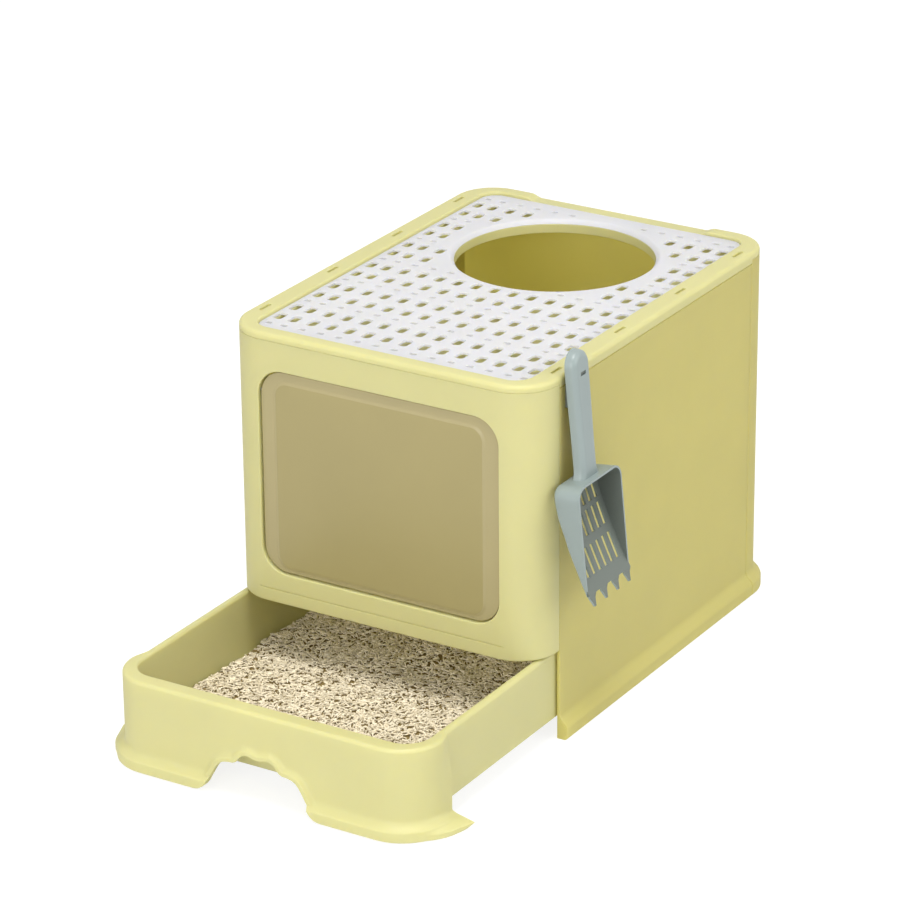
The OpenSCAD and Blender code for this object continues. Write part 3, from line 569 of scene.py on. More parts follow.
class LITTERBOX_OT_side_panels(bpy.types.Operator):
    """Two side panels with a flared foot, a ledge, four snap tabs and two lap tongues each"""
    bl_idname = "litterbox.side_panels"
    bl_label = "Side panels"

    # Width of the ledge under the lid, and how far it lies below the lid's top
    LEDGE, LEDGE_DOWN = 18, 12.8

    def execute(self, context):
        for side, name in ((1, "side_panel_right"), (-1, "side_panel_left")):
            self.panel(side, name)
        return {"FINISHED"}

    def panel(self, side, name):
        wall = size("wall")
        inner, ledge, top = SIDE - wall, SIDE - self.LEDGE, TOP - self.LEDGE_DOWN
        y0 = FRONT + size("corner") + PAST_FRONT + SEAM_FRONT
        y1 = BACK - size("corner") - PAST_BACK - SEAM_BACK

        def section(y):
            drawn = round_off(min(y - y0, y1 - y), 1.0)
            outer = [(SIDE + out - drawn, z) for out, z in foot_profile(size("flare"))]
            outer += [(x - drawn, z) for x, z in arc(SIDE - 1.6, top - 1.6, 1.6, 0, 90, 4)]
            points = [(inner, 0)] + outer
            points += [(ledge, top), (ledge, top - wall), (inner, top - wall)]
            return [(side * x, y, z) for x, z in points]

        ends = (0, 0.05, 0.2, 0.5, 1.0)
        stops = [y0 + u for u in ends] + [-150, 0, 190] + [y1 - u for u in reversed(ends)]
        shape = Shape().loft([section(y) for y in stops])
        at_tabs(shape, side, 3, 18, [(0, top - 1), (0, TOP - 2.4), (0.3, TOP - 1.7),
                                     (0.9, TOP - 1.5)])
        # Tongues that lap behind the front and back panels
        reach, thick, play = 10, 3, 0.3
        for y, way in ((y0, reach), (y1, -reach)):
            plan = [(0.01, y), (0.01, y + way), (-thick, y + way), (-thick, y - way),
                    (-play, y - way), (-play, y)]
            shape.loft([[(side * (inner + x), v, z) for x, v in plan] for z in (106, top - 8)])
        panel = shape.object(name + "_moulding")
        clean(panel)
        # The side colour is painted shade: a more saturated copy of the panel colour.
        material = polypropylene("moulded_polypropylene_rippled", "side", rippled=True,
                                 through=0.55)
        finish_piece(panel, [material], "box", [name])


def at_tabs(shape, side, width, length, rows):
    """Upright blocks where the snap tabs stand; rows are how far a block draws in, and where."""
    for y in TAB_STOPS:
        shape.loft([[(side * (SIDE - TAB_IN) + x, y + v, z)
                     for x, v in ring(width - 2 * g, length - 2 * g, 1.2 - g, 4)]
                    for g, z in rows])


class LITTERBOX_OT_back_panel(bpy.types.Operator):
    """Back panel that wraps both rear corners and stands on its flared foot"""
    bl_idname = "litterbox.back_panel"
    bl_label = "Back panel"

    def execute(self, context):
        wall = size("wall")
        stops, end = wrap_stops(PAST_BACK)

        def section(s):
            drawn = round_off(end - abs(s), 1.2)
            points = [(wall, 0)]
            points += [(drawn - out, z) for out, z in foot_profile(size("flare"))]
            points += [(max(d, drawn), z) for d, z in
                       arc(0.4, PANEL_TOP - 0.4, 0.4, 180, 90, 3)]
            points += [(RETURN, PANEL_TOP), (RETURN, PANEL_TOP - wall), (wall, PANEL_TOP - wall)]
            return [(*wrap(s, d, rear=True), z) for d, z in points]

        panel = Shape().loft([section(s) for s in stops]).object("back_panel_moulding")
        clean(panel)
        # The side colour is painted shade: a more saturated copy of the panel colour.
        material = polypropylene("moulded_polypropylene_back", "side", through=0.55)
        finish_piece(panel, [material], "box", ["back_panel"])
        return {"FINISHED"}


# ---- lid and paw plate ----

# Between these stops the lid's rim reaches further down, beside the side panels
LOW_FROM, LOW_TO = -210, 208
# Stops along the lid's sides: close together where the finger dip ends and where the rim steps
lid_xs = sorted(set(range(-138, 139, 6)) | {s * v for s in (-1, 1) for v in range(102, 124, 2)})
lid_ys = sorted(set(range(-204, 205, 6)) | {y + u for y in (LOW_FROM, LOW_TO)
                                            for u in (-0.05, 0.05)})


def lid_ring(inset):
    r = size("corner")
    return ring(2 * (SIDE - inset), 2 * (BACK - inset), r - inset, 12, lid_xs, lid_ys)


def recess_ring(grow):
    return ring(2 * (RECESS_X + grow), 2 * (RECESS_Y + grow), RECESS_R + grow, 12, lid_xs, lid_ys)


def collar_ring(r):
    """Circle about the cat's hole whose points lie opposite those of the recess."""
    angles = (atan2(y - HOLE_Y, x) for x, y in recess_ring(0))
    return [(r * cos(a), HOLE_Y + r * sin(a)) for a in angles]


class LITTERBOX_OT_lid(bpy.types.Operator):
    """Lift-off lid: a rounded rim with snap slots and a finger dip, a catch tray and a collar"""
    bl_idname = "litterbox.lid"
    bl_label = "Lid"

    # Height of the rim's outer face, at the front and back and beside the side panels
    RIM, RIM_BESIDE = 8, 12
    # Finger dip at the back: its depth, half its floor, the run of its ends, and the level up to
    # which the lid keeps its shape
    DIP, DIP_HALF, DIP_RUN, DIP_FOOT = 4, 105, 13, 402.4

    def execute(self, context):
        fillet, wall = size("lid_round"), size("wall")
        low, catch, shoulder = lid_low[2], lid_low[2] + wall, plate_high[2] - 3.3
        under = plate_low[2] - 0.3
        rows = [(lid_ring(wall), self.skirt), (lid_ring(0.3), self.skirt),
                (lid_ring(0), lambda x, y: self.skirt(x, y) + 0.3)]
        rows += [(lid_ring(fillet - c), TOP - fillet + h)
                 for c, h in arc(0, 0, fillet, 0, 90, 8)]
        rows += [(recess_ring(2.4 - c), TOP - 2.4 + h) for c, h in arc(0, 0, 2.4, 90, 0, 5)]
        rows += [(recess_ring(grow), z) for grow, z in (
            (0, shoulder), (-5, shoulder), (-5.3, shoulder - 0.4), (-5.3, catch + 1.5),
            (-6.8, catch))]
        # The catch tray's own rows, from the foot of its wall to the collar's top
        first = len(rows) - 2
        rows += [(collar_ring(r), z) for r, z in (
            (115, catch), (113.5, catch + 1.2), (113.5, under - 0.5), (113.1, under),
            (111, under), (110.5, under - 0.5), (110.5, low + 0.6), (111.1, low))]
        rows += [(recess_ring(2.4), low), (recess_ring(3), low + 0.6),
                 (recess_ring(3), TOP - wall), (lid_ring(wall), TOP - wall)]
        rings = [[self.dipped(*p) for p in at_height(plan, z)] for plan, z in rows]
        lid = Shape().loft(rings, loop=True, slot=lambda row: int(first <= row < first + 4))
        lid = lid.object("lid_moulding")
        clean(lid)
        slots = Shape()
        for side in (-1, 1):
            at_tabs(slots, side, 4.5, 20, [(0, TOP - 5), (0, TOP + 1)])
        cut(lid, slots)
        # The catch tray is painted paler, as painted light under the paw plate.
        tray = polypropylene("moulded_polypropylene_pale", "tray")
        finish_piece(lid, [panel_plastic(), tray], "lid", ["lid"])
        return {"FINISHED"}

    def skirt(self, x, y):
        """Lower edge of the rim, which reaches further down beside the side panels."""
        beside = abs(x) > SIDE - 4 and LOW_FROM < y < LOW_TO
        return TOP - (self.RIM_BESIDE if beside else self.RIM)

    def dipped(self, x, y, z):
        """A point of the lid, lowered where the finger dip is."""
        if y > RECESS_Y - 6 and z > self.DIP_FOOT:
            share = 1 - smooth((abs(x) - self.DIP_HALF) / self.DIP_RUN)
            z -= self.DIP * share * (z - self.DIP_FOOT) / (TOP - self.DIP_FOOT)
        return x, y, z


class LITTERBOX_OT_paw_plate(bpy.types.Operator):
    """Perforated plate with a funnel lip round the cat's hole"""
    bl_idname = "litterbox.paw_plate"
    bl_label = "Paw plate"

    # Spacing of the holes' columns and of their repeating rows, and the outermost columns
    COLUMN, ROW, LAST_COLUMN = 22.8, 74.4, 155.5
    # Small holes as width, length and corner radius; long ones as width, length and how far
    # they lie from the middle between two rows of small ones
    SMALL, LONG = (8, 5, 1.8), (10.5, 17.5, 15.2)
    # Radius about the cat's hole that stays without holes
    CLEAR = 117.5

    def execute(self, context):
        top, under = plate_high[2], plate_high[2] - 3
        outer_w, outer_l = 2 * plate_high[0], 2 * plate_high[1]
        edge = [(-0.5, top), (-0.15, top - 0.15), (0, top - 0.5),
                (0, under + 0.5), (-0.15, under + 0.15), (-0.5, under)]
        outlines = [[at_height(ring(outer_w + 2 * g, outer_l + 2 * g, PLATE_R + g, 10), z)
                     for g, z in edge]]
        outlines += [[at_height(self.outline(*hole, -g), z) for g, z in edge]
                     for hole in self.holes()]
        lip = [(116.6, top), (115.4, top - 0.15), (114.4, top - 0.6), (113.5, top - 1.5),
               (111.0, top - 4.4), (110.6, top - 4.8), (111, top - 5), (113.1, top - 5),
               (113.5, top - 4.7), (115.9, under + 0.3), (116.6, under)]
        outlines.append([at_height(circle(r, 128, HOLE_Y), z) for r, z in lip])
        shape = Shape()
        for rows in outlines:
            shape.loft(rows, ends=False)
        for number, z in ((0, top), (-1, under)):
            self.sheet(shape, [rows[number] for rows in outlines], z)
        plate = shape.object("paw_plate_moulding")
        clean(plate)
        material = polypropylene("moulded_polypropylene_white", "plate", rough=0.5, through=0.5)
        finish_piece(plate, [material], "plate", ["paw_plate"], sharp=40)
        return {"FINISHED"}

    def sheet(self, shape, outlines, z):
        """Flat face inside the first outline and outside the others."""
        points, edges, owner = [], [], []
        for k, outline in enumerate(outlines):
            base, n = len(points), len(outline)
            points += [Vector((x, y)) for x, y, _ in outline]
            edges += [(base + j, base + (j + 1) % n) for j in range(n)]
            owner += [k] * n
        found = delaunay_2d_cdt(points, edges, [], 1, 1e-5)
        owners = [owner[source[0]] for source in found[3]]
        # A triangle whose corners all lie on one hole's outline fills that hole
        faces = [tuple(f) for f in found[2]
                 if len({owners[v] for v in f}) > 1 or owners[f[0]] == 0]
        shape.add(at_height([tuple(p) for p in found[0]], z), faces)

    def holes(self):
        """Centre, width, length and corner radius of each hole."""
        width, length, away = self.LONG
        rows = [(self.ROW * k, *self.SMALL) for k in range(-3, 4)]
        rows += [(self.ROW * (k + 0.5) + s * away, width, length, size("hole_round"))
                 for k in range(-3, 3) for s in (-1, 1)]
        columns = [self.COLUMN * k for k in range(-6, 7)]
        for x in [-self.LAST_COLUMN, *columns, self.LAST_COLUMN]:
            for y, w, l, r in rows:
                gap = hypot(max(abs(x) - w / 2, 0), max(abs(y - HOLE_Y) - l / 2, 0))
                if gap > self.CLEAR:
                    yield x, y, w, l, r

    def outline(self, x, y, w, l, r, grow):
        return [(x + u, y + v) for u, v in ring(w + 2 * grow, l + 2 * grow, r + grow, 4)]


# ---- door flap ----

class LITTERBOX_OT_door_flap(bpy.types.Operator):
    """Swinging flap: a flat border, a softly raised middle, and a knuckle at each hinge pin"""
    bl_idname = "litterbox.door_flap"
    bl_label = "Door flap"

    def execute(self, context):
        w, h = 2 * flap_high[0], flap_high[2] - flap_low[2]
        # The raised middle keeps this far inside the sides, the top and the bottom
        beside, above, below = 19, 13, 7

        def edge(grow, depth):
            """Ring along the flap's outer edge."""
            return upright(ring(w + 2 * grow, h + 2 * grow, DOOR_R - FLAP_PLAY + grow, 14),
                           FRONT + depth, DOOR_MID)

        def middle(grow, depth):
            """Ring along the raised middle."""
            plan = ring(w - 2 * beside + 2 * grow, h - above - below + 2 * grow, 14 + grow, 14)
            return upright(plan, FRONT + depth, DOOR_MID - (above - below) / 2)

        rings = [middle(*p) for p in (
            (-8, 4.0), (-2.4, 4.0), (-0.8, 4.4), (0.6, 5.2), (1.6, 5.45), (2.6, 5.5))]
        rings += [edge(*p) for p in (
            (-0.7, 5.5), (-0.2, 5.3), (0, 4.9), (0, 4.3), (-0.2, 3.8), (-0.9, 3.5))]
        rings += [middle(*p) for p in (
            (4.6, 3.5), (3.4, 3.42), (2.3, 3.1), (1.2, 2.5), (0.2, 2.12), (-1, 2.02), (-8, 2.0))]
        shape = Shape().loft(rings, slot=lambda row: int(5 <= row <= 15))
        # A knuckle runs on each hinge pin
        at_hinge(shape, 125.7, 143.7, 2.6)
        flap = shape.object("door_flap_moulding")
        clean(flap)
        sheets = [smoked_plastic("smoked_polypropylene", "flap", 0.38),
                  smoked_plastic("smoked_polypropylene_border", "flap_edge", 0.45)]
        finish_piece(flap, sheets, "flap", ["door_flap"])
        return {"FINISHED"}


# ---- drawer ----

# Hand hole in the drawer's front, from its foot to its middle: half width and height
HAND_HOLE = [(78, 0.6), (71, 2.2), (66, 5.5), (62.5, 10), (59.5, 16), (56, 22), (53, 27.5),
             (50, 32), (46.5, 36), (42, 38.5), (36, 39.8), (30, 40.3), (26.5, 42), (24, 45),
             (21, 48.5), (17.5, 51), (13.5, 52.2), (9, 51.8), (4.5, 50.3), (0, 49.6)]


def hole_edge(x):
    """Height of the hand hole's edge at a distance from its middle."""
    x = abs(x)
    for (x1, z1), (x0, z0) in zip(HAND_HOLE, HAND_HOLE[1:]):
        if x0 <= x <= x1:
            return z0 + (z1 - z0) * (x - x0) / (x1 - x0)
    return HAND_HOLE[0][1]


def hole_distance(x, z):
    """Distance of a point of the drawer's front from the hand hole's edge."""
    best, p = 1e9, Vector((abs(x), z))
    for a, b in zip(HAND_HOLE, HAND_HOLE[1:]):
        a, b = Vector(a), Vector(b)
        t = min(max((p - a).dot(b - a) / (b - a).length_squared, 0), 1)
        best = min(best, (p - a - (b - a) * t).length)
    return best


class DrawerPlan:
    """Matching rings round the drawer's rim and round its tub."""
    # The drawer's length, half its width behind the front, and the width of its rim
    LENGTH, FLANK, RIM_SIDE = 524, 184.5, 9
    # Corner radii of the front and of the tub, and half the straight part of the front
    FRONT_R, TUB_R, FLAT = 46, 28, 144
    # Where the front's returns end, and the inside of the tub's front wall at its top
    END, TUB_FRONT = -425.0, -470
    # Depth of the tub, and how far its sides and its front lean in over that depth
    DEEP, SIDE_LEAN, FRONT_LEAN = 78, 2, 16

    def __init__(self):
        self.front, self.back = drawer_high[1] - self.LENGTH, drawer_high[1]
        self.rear_r = self.TUB_R + self.RIM_SIDE
        # Stops along the front, the flanks and the back, as shares of their length
        stops = set(range(2 - self.FLAT, self.FLAT, 2)) | {s * x for s in (-1, 1)
                                                           for x, _ in HAND_HOLE}
        self.along_front = [x / self.FLAT for x in sorted(stops)]
        start = self.front + self.FRONT_R
        near_end = [self.END - u for u in (17, 15, 13, 11, 9, 7, 5, 3, 1.5, 0.05, 0, -0.05,
                                           -2.5, -5)]
        self.along_flank = [(y - start) / (self.back - self.rear_r - start) for y in near_end]
        self.along_flank += [0.06 + 0.92 * k / 12 for k in range(13)]
        self.along_back = [k / 6 for k in range(-5, 6)]

    def lay(self, half, front, rear, rf, rr, drop=0.0):
        """Ring with front corners rf and rear corners rr; its flanks draw in by drop."""
        cf, cr = half - rf, half - drop - rr
        lo, hi = front + rf, rear - rr
        flank = [(half - drop * smooth((hi - lo) * f / 24), lo + (hi - lo) * f)
                 for f in self.along_flank]
        return (arc(cf, lo, rf, -90, 0, 14) + flank + arc(cr, hi, rr, 0, 90, 10)
                + [(cr * f, rear) for f in reversed(self.along_back)]
                + arc(-cr, hi, rr, 90, 180, 10) + [(-x, y) for x, y in reversed(flank)]
                + arc(-cf, lo, rf, 180, 270, 14) + [(cf * f, front) for f in self.along_front])

    def rim(self, grow):
        return self.lay(SIDE + grow, self.front - grow, self.back + grow, self.FRONT_R + grow,
                        self.rear_r + grow, SIDE - self.FLANK)

    def tub(self, grow, z):
        lean = min(max((drawer_high[2] - z) / self.DEEP, 0), 1)
        g, r = grow - self.SIDE_LEAN * lean, self.TUB_R + grow - self.SIDE_LEAN * lean
        return self.lay(self.FLANK - self.RIM_SIDE + g,
                        self.TUB_FRONT - grow + self.FRONT_LEAN * lean,
                        self.back - self.RIM_SIDE + g, r, r)


class LITTERBOX_OT_drawer(bpy.types.Operator):
    """Drawer: tub, broad rim and front with a flared foot and a beaded hand hole, in one"""
    bl_idname = "litterbox.drawer"
    bl_label = "Drawer"

    # Heights of the rings up the drawer's front, in millimetres above its lower edge
    LEVELS = [0, 0.9, 2, 3.2, 4.4, 5.4, 6.2, 7.0, 8.2, 9.3, 10.2, 11.2, 12.2, 12.8, 13.4, 14, 15,
              16.2, 17.8, 19.8, 22, 24.5, 27.2, 30, 33, 36, 39, 42, 46, 50, 55, 60, 66, 73, 81,
              89, 95.1]
    # Lower edge of the rim's turned-down sides, and their thickness
    BOTTOM, TURNED_DOWN = 23.7, 2.5
    # Pointed ears: how far they reach out, over how long a stretch, and their tips' height
    EAR, EAR_RUN, EAR_TIP = 18, 45, 7

    def execute(self, context):
        plan, top, wall = DrawerPlan(), drawer_high[2], size("wall")
        base = plan.rim(0)
        ways = [(b[0] - a[0], b[1] - a[1]) for a, b in zip(base, plan.rim(1))]
        # Roundings of the rim's outer and inner edge and of the tub's floor, and how far the
        # rings up the front begin above its lower edge
        rim_r, lip_r, floor_r, step = 4, 3.2, 9, 0.8
        at_front = [y <= plan.END + 0.01 for _, y in base]
        at_end = [abs(y - plan.END) < 0.01 for _, y in base]

        def foot_level(x, y, near):
            """Height of the drawer's lower edge."""
            if not near:
                return self.BOTTOM
            at_hole = abs(x) < HAND_HOLE[0][0] and y < plan.front + 0.01
            return hole_edge(x) if at_hole else drawer_low[2]

        floor = [foot_level(x, y, near) for (x, y), near in zip(base, at_front)]

        def sheet(offset, height):
            """Ring round the rim; offset and height are functions of the point's number."""
            rows = []
            for j, ((x, y), (nx, ny)) in enumerate(zip(base, ways)):
                out = offset(j)
                rows.append((x + nx * out, y + ny * out, height(j)))
            return rows

        def level(j, mm):
            """Height of a ring at a point: the rings close up over the hand hole."""
            rise = top - rim_r - step - floor[j]
            return floor[j] + step + rise * mm / self.LEVELS[-1]

        def lean(j, z):
            """The front's returns stay as wide below as the box, where the rim draws in."""
            x, y = base[j]
            if not at_front[j] or y < plan.front + plan.FRONT_R:
                return 0
            return (SIDE - abs(x)) * smooth((top - 8 - z) / 45)

        def inner(j, z):
            return lean(j, z) - wall if at_front[j] else -self.TURNED_DOWN

        def outer(j, z):
            return lean(j, z) + self.stands_out(*base[j], z, plan) if at_front[j] else 0

        def below(offset, height):
            """Ring below the rim. At the front's ends both sheets meet in the wall's middle."""
            return sheet(lambda j: lean(j, height(j)) - wall / 2 if at_end[j]
                         else offset(j, height(j)), height)

        rings = [at_height(plan.tub(grow, z), z) for grow, z in (
            (-2, 20), (1.6, 20), (2.5, 21.5), (2.5, 40), (2.5, 60), (2.5, 80), (2.5, top - wall))]
        rings += [sheet(lambda j: inner(j, top), lambda j: top - wall)]
        first = len(rings)
        rings += [below(inner, lambda j, mm=mm: level(j, mm)) for mm in reversed(self.LEVELS[:-1])]
        rings += [below(lambda j, z: inner(j, z) + 0.8, lambda j: floor[j]),
                  below(lambda j, z: outer(j, z) - 0.9, lambda j: floor[j]),
                  below(lambda j, z: outer(j, z) - 0.3, lambda j: floor[j] + 0.25)]
        rings += [below(outer, lambda j, mm=mm: level(j, mm)) for mm in self.LEVELS[:-1]]
        last = len(rings)
        rings += [sheet(lambda j, c=c: c - rim_r, lambda j, h=h: top - rim_r + h)
                  for c, h in arc(0, 0, rim_r, 0, 90, 7)]
        rings += [at_height(plan.tub(lip_r - c, top), top - lip_r + h)
                  for c, h in arc(0, 0, lip_r, 90, 0, 6)]
        rings += [at_height(plan.tub(0, z), z) for z in (80, 62, 45)]
        rings += [at_height(plan.tub(c - floor_r, z), z)
                  for c, z in arc(0, 31.5, floor_r, 0, -90, 6)]
        # No wall runs on from the front's ends below the rim: the sides have their own
        n = len(base)
        ends = [j for j in range(n) if at_front[j] != at_front[(j + 1) % n]]
        gaps = {(i, j) for i in range(first, last - 1) for j in ends}
        drawer = Shape().loft(rings, skip=gaps).object("drawer_moulding")
        clean(drawer, close=True)
        finish_piece(drawer, [panel_plastic()], "drawer", ["drawer"], sharp=38)
        return {"FINISHED"}

    def stands_out(self, x, y, z, plan):
        """How far the front's face stands out: a foot with a cove above it, a bead round the
        hand hole, and a low pointed ear at each end."""
        low, blur = drawer_low[2], ((-1, 0.25), (0, 0.5), (1, 0.25))

        def cove(t):
            return (1 - min(max(t, 0), 1)) ** 2.1

        # Towards the ears the foot is a little lower, and its cove tighter
        end = smooth((y - plan.END + 24) / 24)
        ridge = size("foot") - 15 - 2 * end
        out = size("flare") * sum(w * cove((z + h - ridge) / (8 - 4 * end)) for h, w in blur)
        if y < plan.front + 0.01 and abs(x) < 100:
            away = hole_distance(x, z) - 5
            out = max(out, size("bead") * sum(w * cove((away + 0.8 * h) / 6) for h, w in blur))
        near = 1 - (plan.END - y) / self.EAR_RUN
        if near > 0:
            rise = z - self.EAR_TIP
            shape = 1 - rise / 4.2 if rise > 0 else 1 + 0.38 * near ** 3 * rise / self.EAR_TIP
            out += self.EAR * near * max(shape, 0)
        return out - round_off(z - low, 1.5) if out > 2 and z - low < 1.5 else out


# ---- litter ----

def litter_height(x, y):
    """Height of the bed under the loose pellets: two crossing sets of swells, 116 mm apart."""
    swell = 2 * sin(2 * pi * x / 116 + radians(70)) * cos(2 * pi * y / 139.2)
    cross = sin(2 * pi * (x + y) / 81.2)
    return 31.6 + swell + cross + 0.7 * noise.noise((x / 32, y / 32, 8.7))


class LITTERBOX_OT_litter(bpy.types.Operator):
    """Bed of litter: a heaped base under a layer of loose pressed pellets"""
    bl_idname = "litterbox.litter"
    bl_label = "Litter"

    # Half the litter's greatest width, its front and rear ends, and the bed's middle
    HALF, NEAR, FAR, MIDDLE = 172, -455, 20, -214.0

    def execute(self, context):
        rng = np.random.default_rng(7)
        plan = DrawerPlan()
        edge, steps = plan.tub(-0.5, 30), 44
        rows = [[(x * k / steps, self.MIDDLE + (y - self.MIDDLE) * k / steps) for x, y in edge]
                for k in range(1, steps + 1)]
        rows = [at_height(row, lambda x, y: litter_height(x, y) - 1.2) for row in rows]
        rows.append(at_height(plan.tub(-6, 23), 23.2))
        bed = Shape().loft(rows).object("litter_bed_heap")
        clean(bed)
        # The bed takes the darkest tone, as painted shade in the gaps between the pellets.
        self.write_tones(bed.data, np.zeros(len(bed.data.vertices), np.float32))
        join(bed.data, self.pellets(plan, rng, context.scene.litter_box_sizes.pellets))
        finish_piece(bed, [pressed_pellets("pressed_fibre_pellets")], "drawer", ["litter_bed"],
                     sharp=50)
        bed.modifiers.clear()
        return {"FINISHED"}

    def write_tones(self, mesh, values):
        """Writes how pale each point is, which the litter's material reads."""
        mesh.attributes.new("tone", "FLOAT", "POINT").data.foreach_set("value", values)

    def pellets(self, plan, rng, count):
        """Mesh of loose rods, each lying on the heap at its own turn and tilt."""
        x = rng.uniform(-self.HALF, self.HALF, count)
        y = rng.uniform(self.NEAR, self.FAR, count)
        lift = rng.uniform(-0.6, 2.0, count)
        length = size("pellet_l") * rng.uniform(0.65, 1.3, count) / 2
        r = size("pellet_d") * rng.uniform(0.85, 1.15, count) / 2
        yaw = rng.uniform(0, 2 * pi, count)
        pitch = rng.normal(0, 0.16, count)
        tone = np.clip(rng.normal(0.78, 0.18, count), 0.3, 1).astype(np.float32)
        # Near the front corners and walls the pellets keep inside the tub's rounded plan
        z = np.array([litter_height(a, b) for a, b in zip(x, y)])
        lean = (drawer_high[2] - z) / plan.DEEP
        half = plan.FLANK - plan.RIM_SIDE - plan.SIDE_LEAN * lean - 0.6
        front, rear = plan.TUB_FRONT + plan.FRONT_LEAN * lean + 0.8, plan.back - 11.5
        reach_x = length * np.abs(np.cos(yaw)) + r
        reach_y = length * np.abs(np.sin(yaw)) + r
        x = np.clip(x, reach_x - half, half - reach_x)
        y = np.clip(y, front + reach_y, rear - reach_y)
        corner, margin = plan.TUB_R, 6
        beside = np.abs(x) - (half - corner)
        beyond = np.maximum(front + corner - y, y - (rear - corner))
        outside = np.hypot(np.maximum(beside, 0), np.maximum(beyond, 0)) > corner - length - 1
        keep = ~((beside > -margin) & (beyond > -margin) & outside)
        x, y, z, lift, length, r, yaw, pitch, tone = (
            v[keep] for v in (x, y, z, lift, length, r, yaw, pitch, tone))
        n, sides = len(x), 6
        along = np.stack([np.cos(yaw) * np.cos(pitch), np.sin(yaw) * np.cos(pitch),
                          np.sin(pitch)], 1)
        across = np.stack([-np.sin(yaw), np.cos(yaw), np.zeros(n)], 1)
        upward = np.cross(along, across)
        centre = np.stack([x, y, z + lift], 1)
        # Each rod has four rings of points: two for its body and a narrower one at each end
        rings = ((-1.0, 0.55), (-0.9, 1.0), (0.9, 1.0), (1.0, 0.55))
        parts = [centre + along * (length * far)[:, None]
                 + (across * a + upward * b) * (r * wide)[:, None]
                 for far, wide in rings for a, b in circle(1, sides)]
        rod = Shape().loft([[(k, row, 0) for k in range(sides)] for row in range(len(rings))])
        step, starts = len(rod.points), np.arange(n)[:, None, None] * len(rod.points)
        walls, ends = ((starts + np.array(faces)).reshape(-1, len(faces[0])).tolist()
                       for faces in (rod.faces[:-2], rod.faces[-2:]))
        mesh = bpy.data.meshes.new("pellets")
        mesh.from_pydata(np.stack(parts, 1).reshape(-1, 3) / 1000, [], walls + ends)
        self.write_tones(mesh, np.repeat(tone, step))
        return mesh


# ---- scoop ----

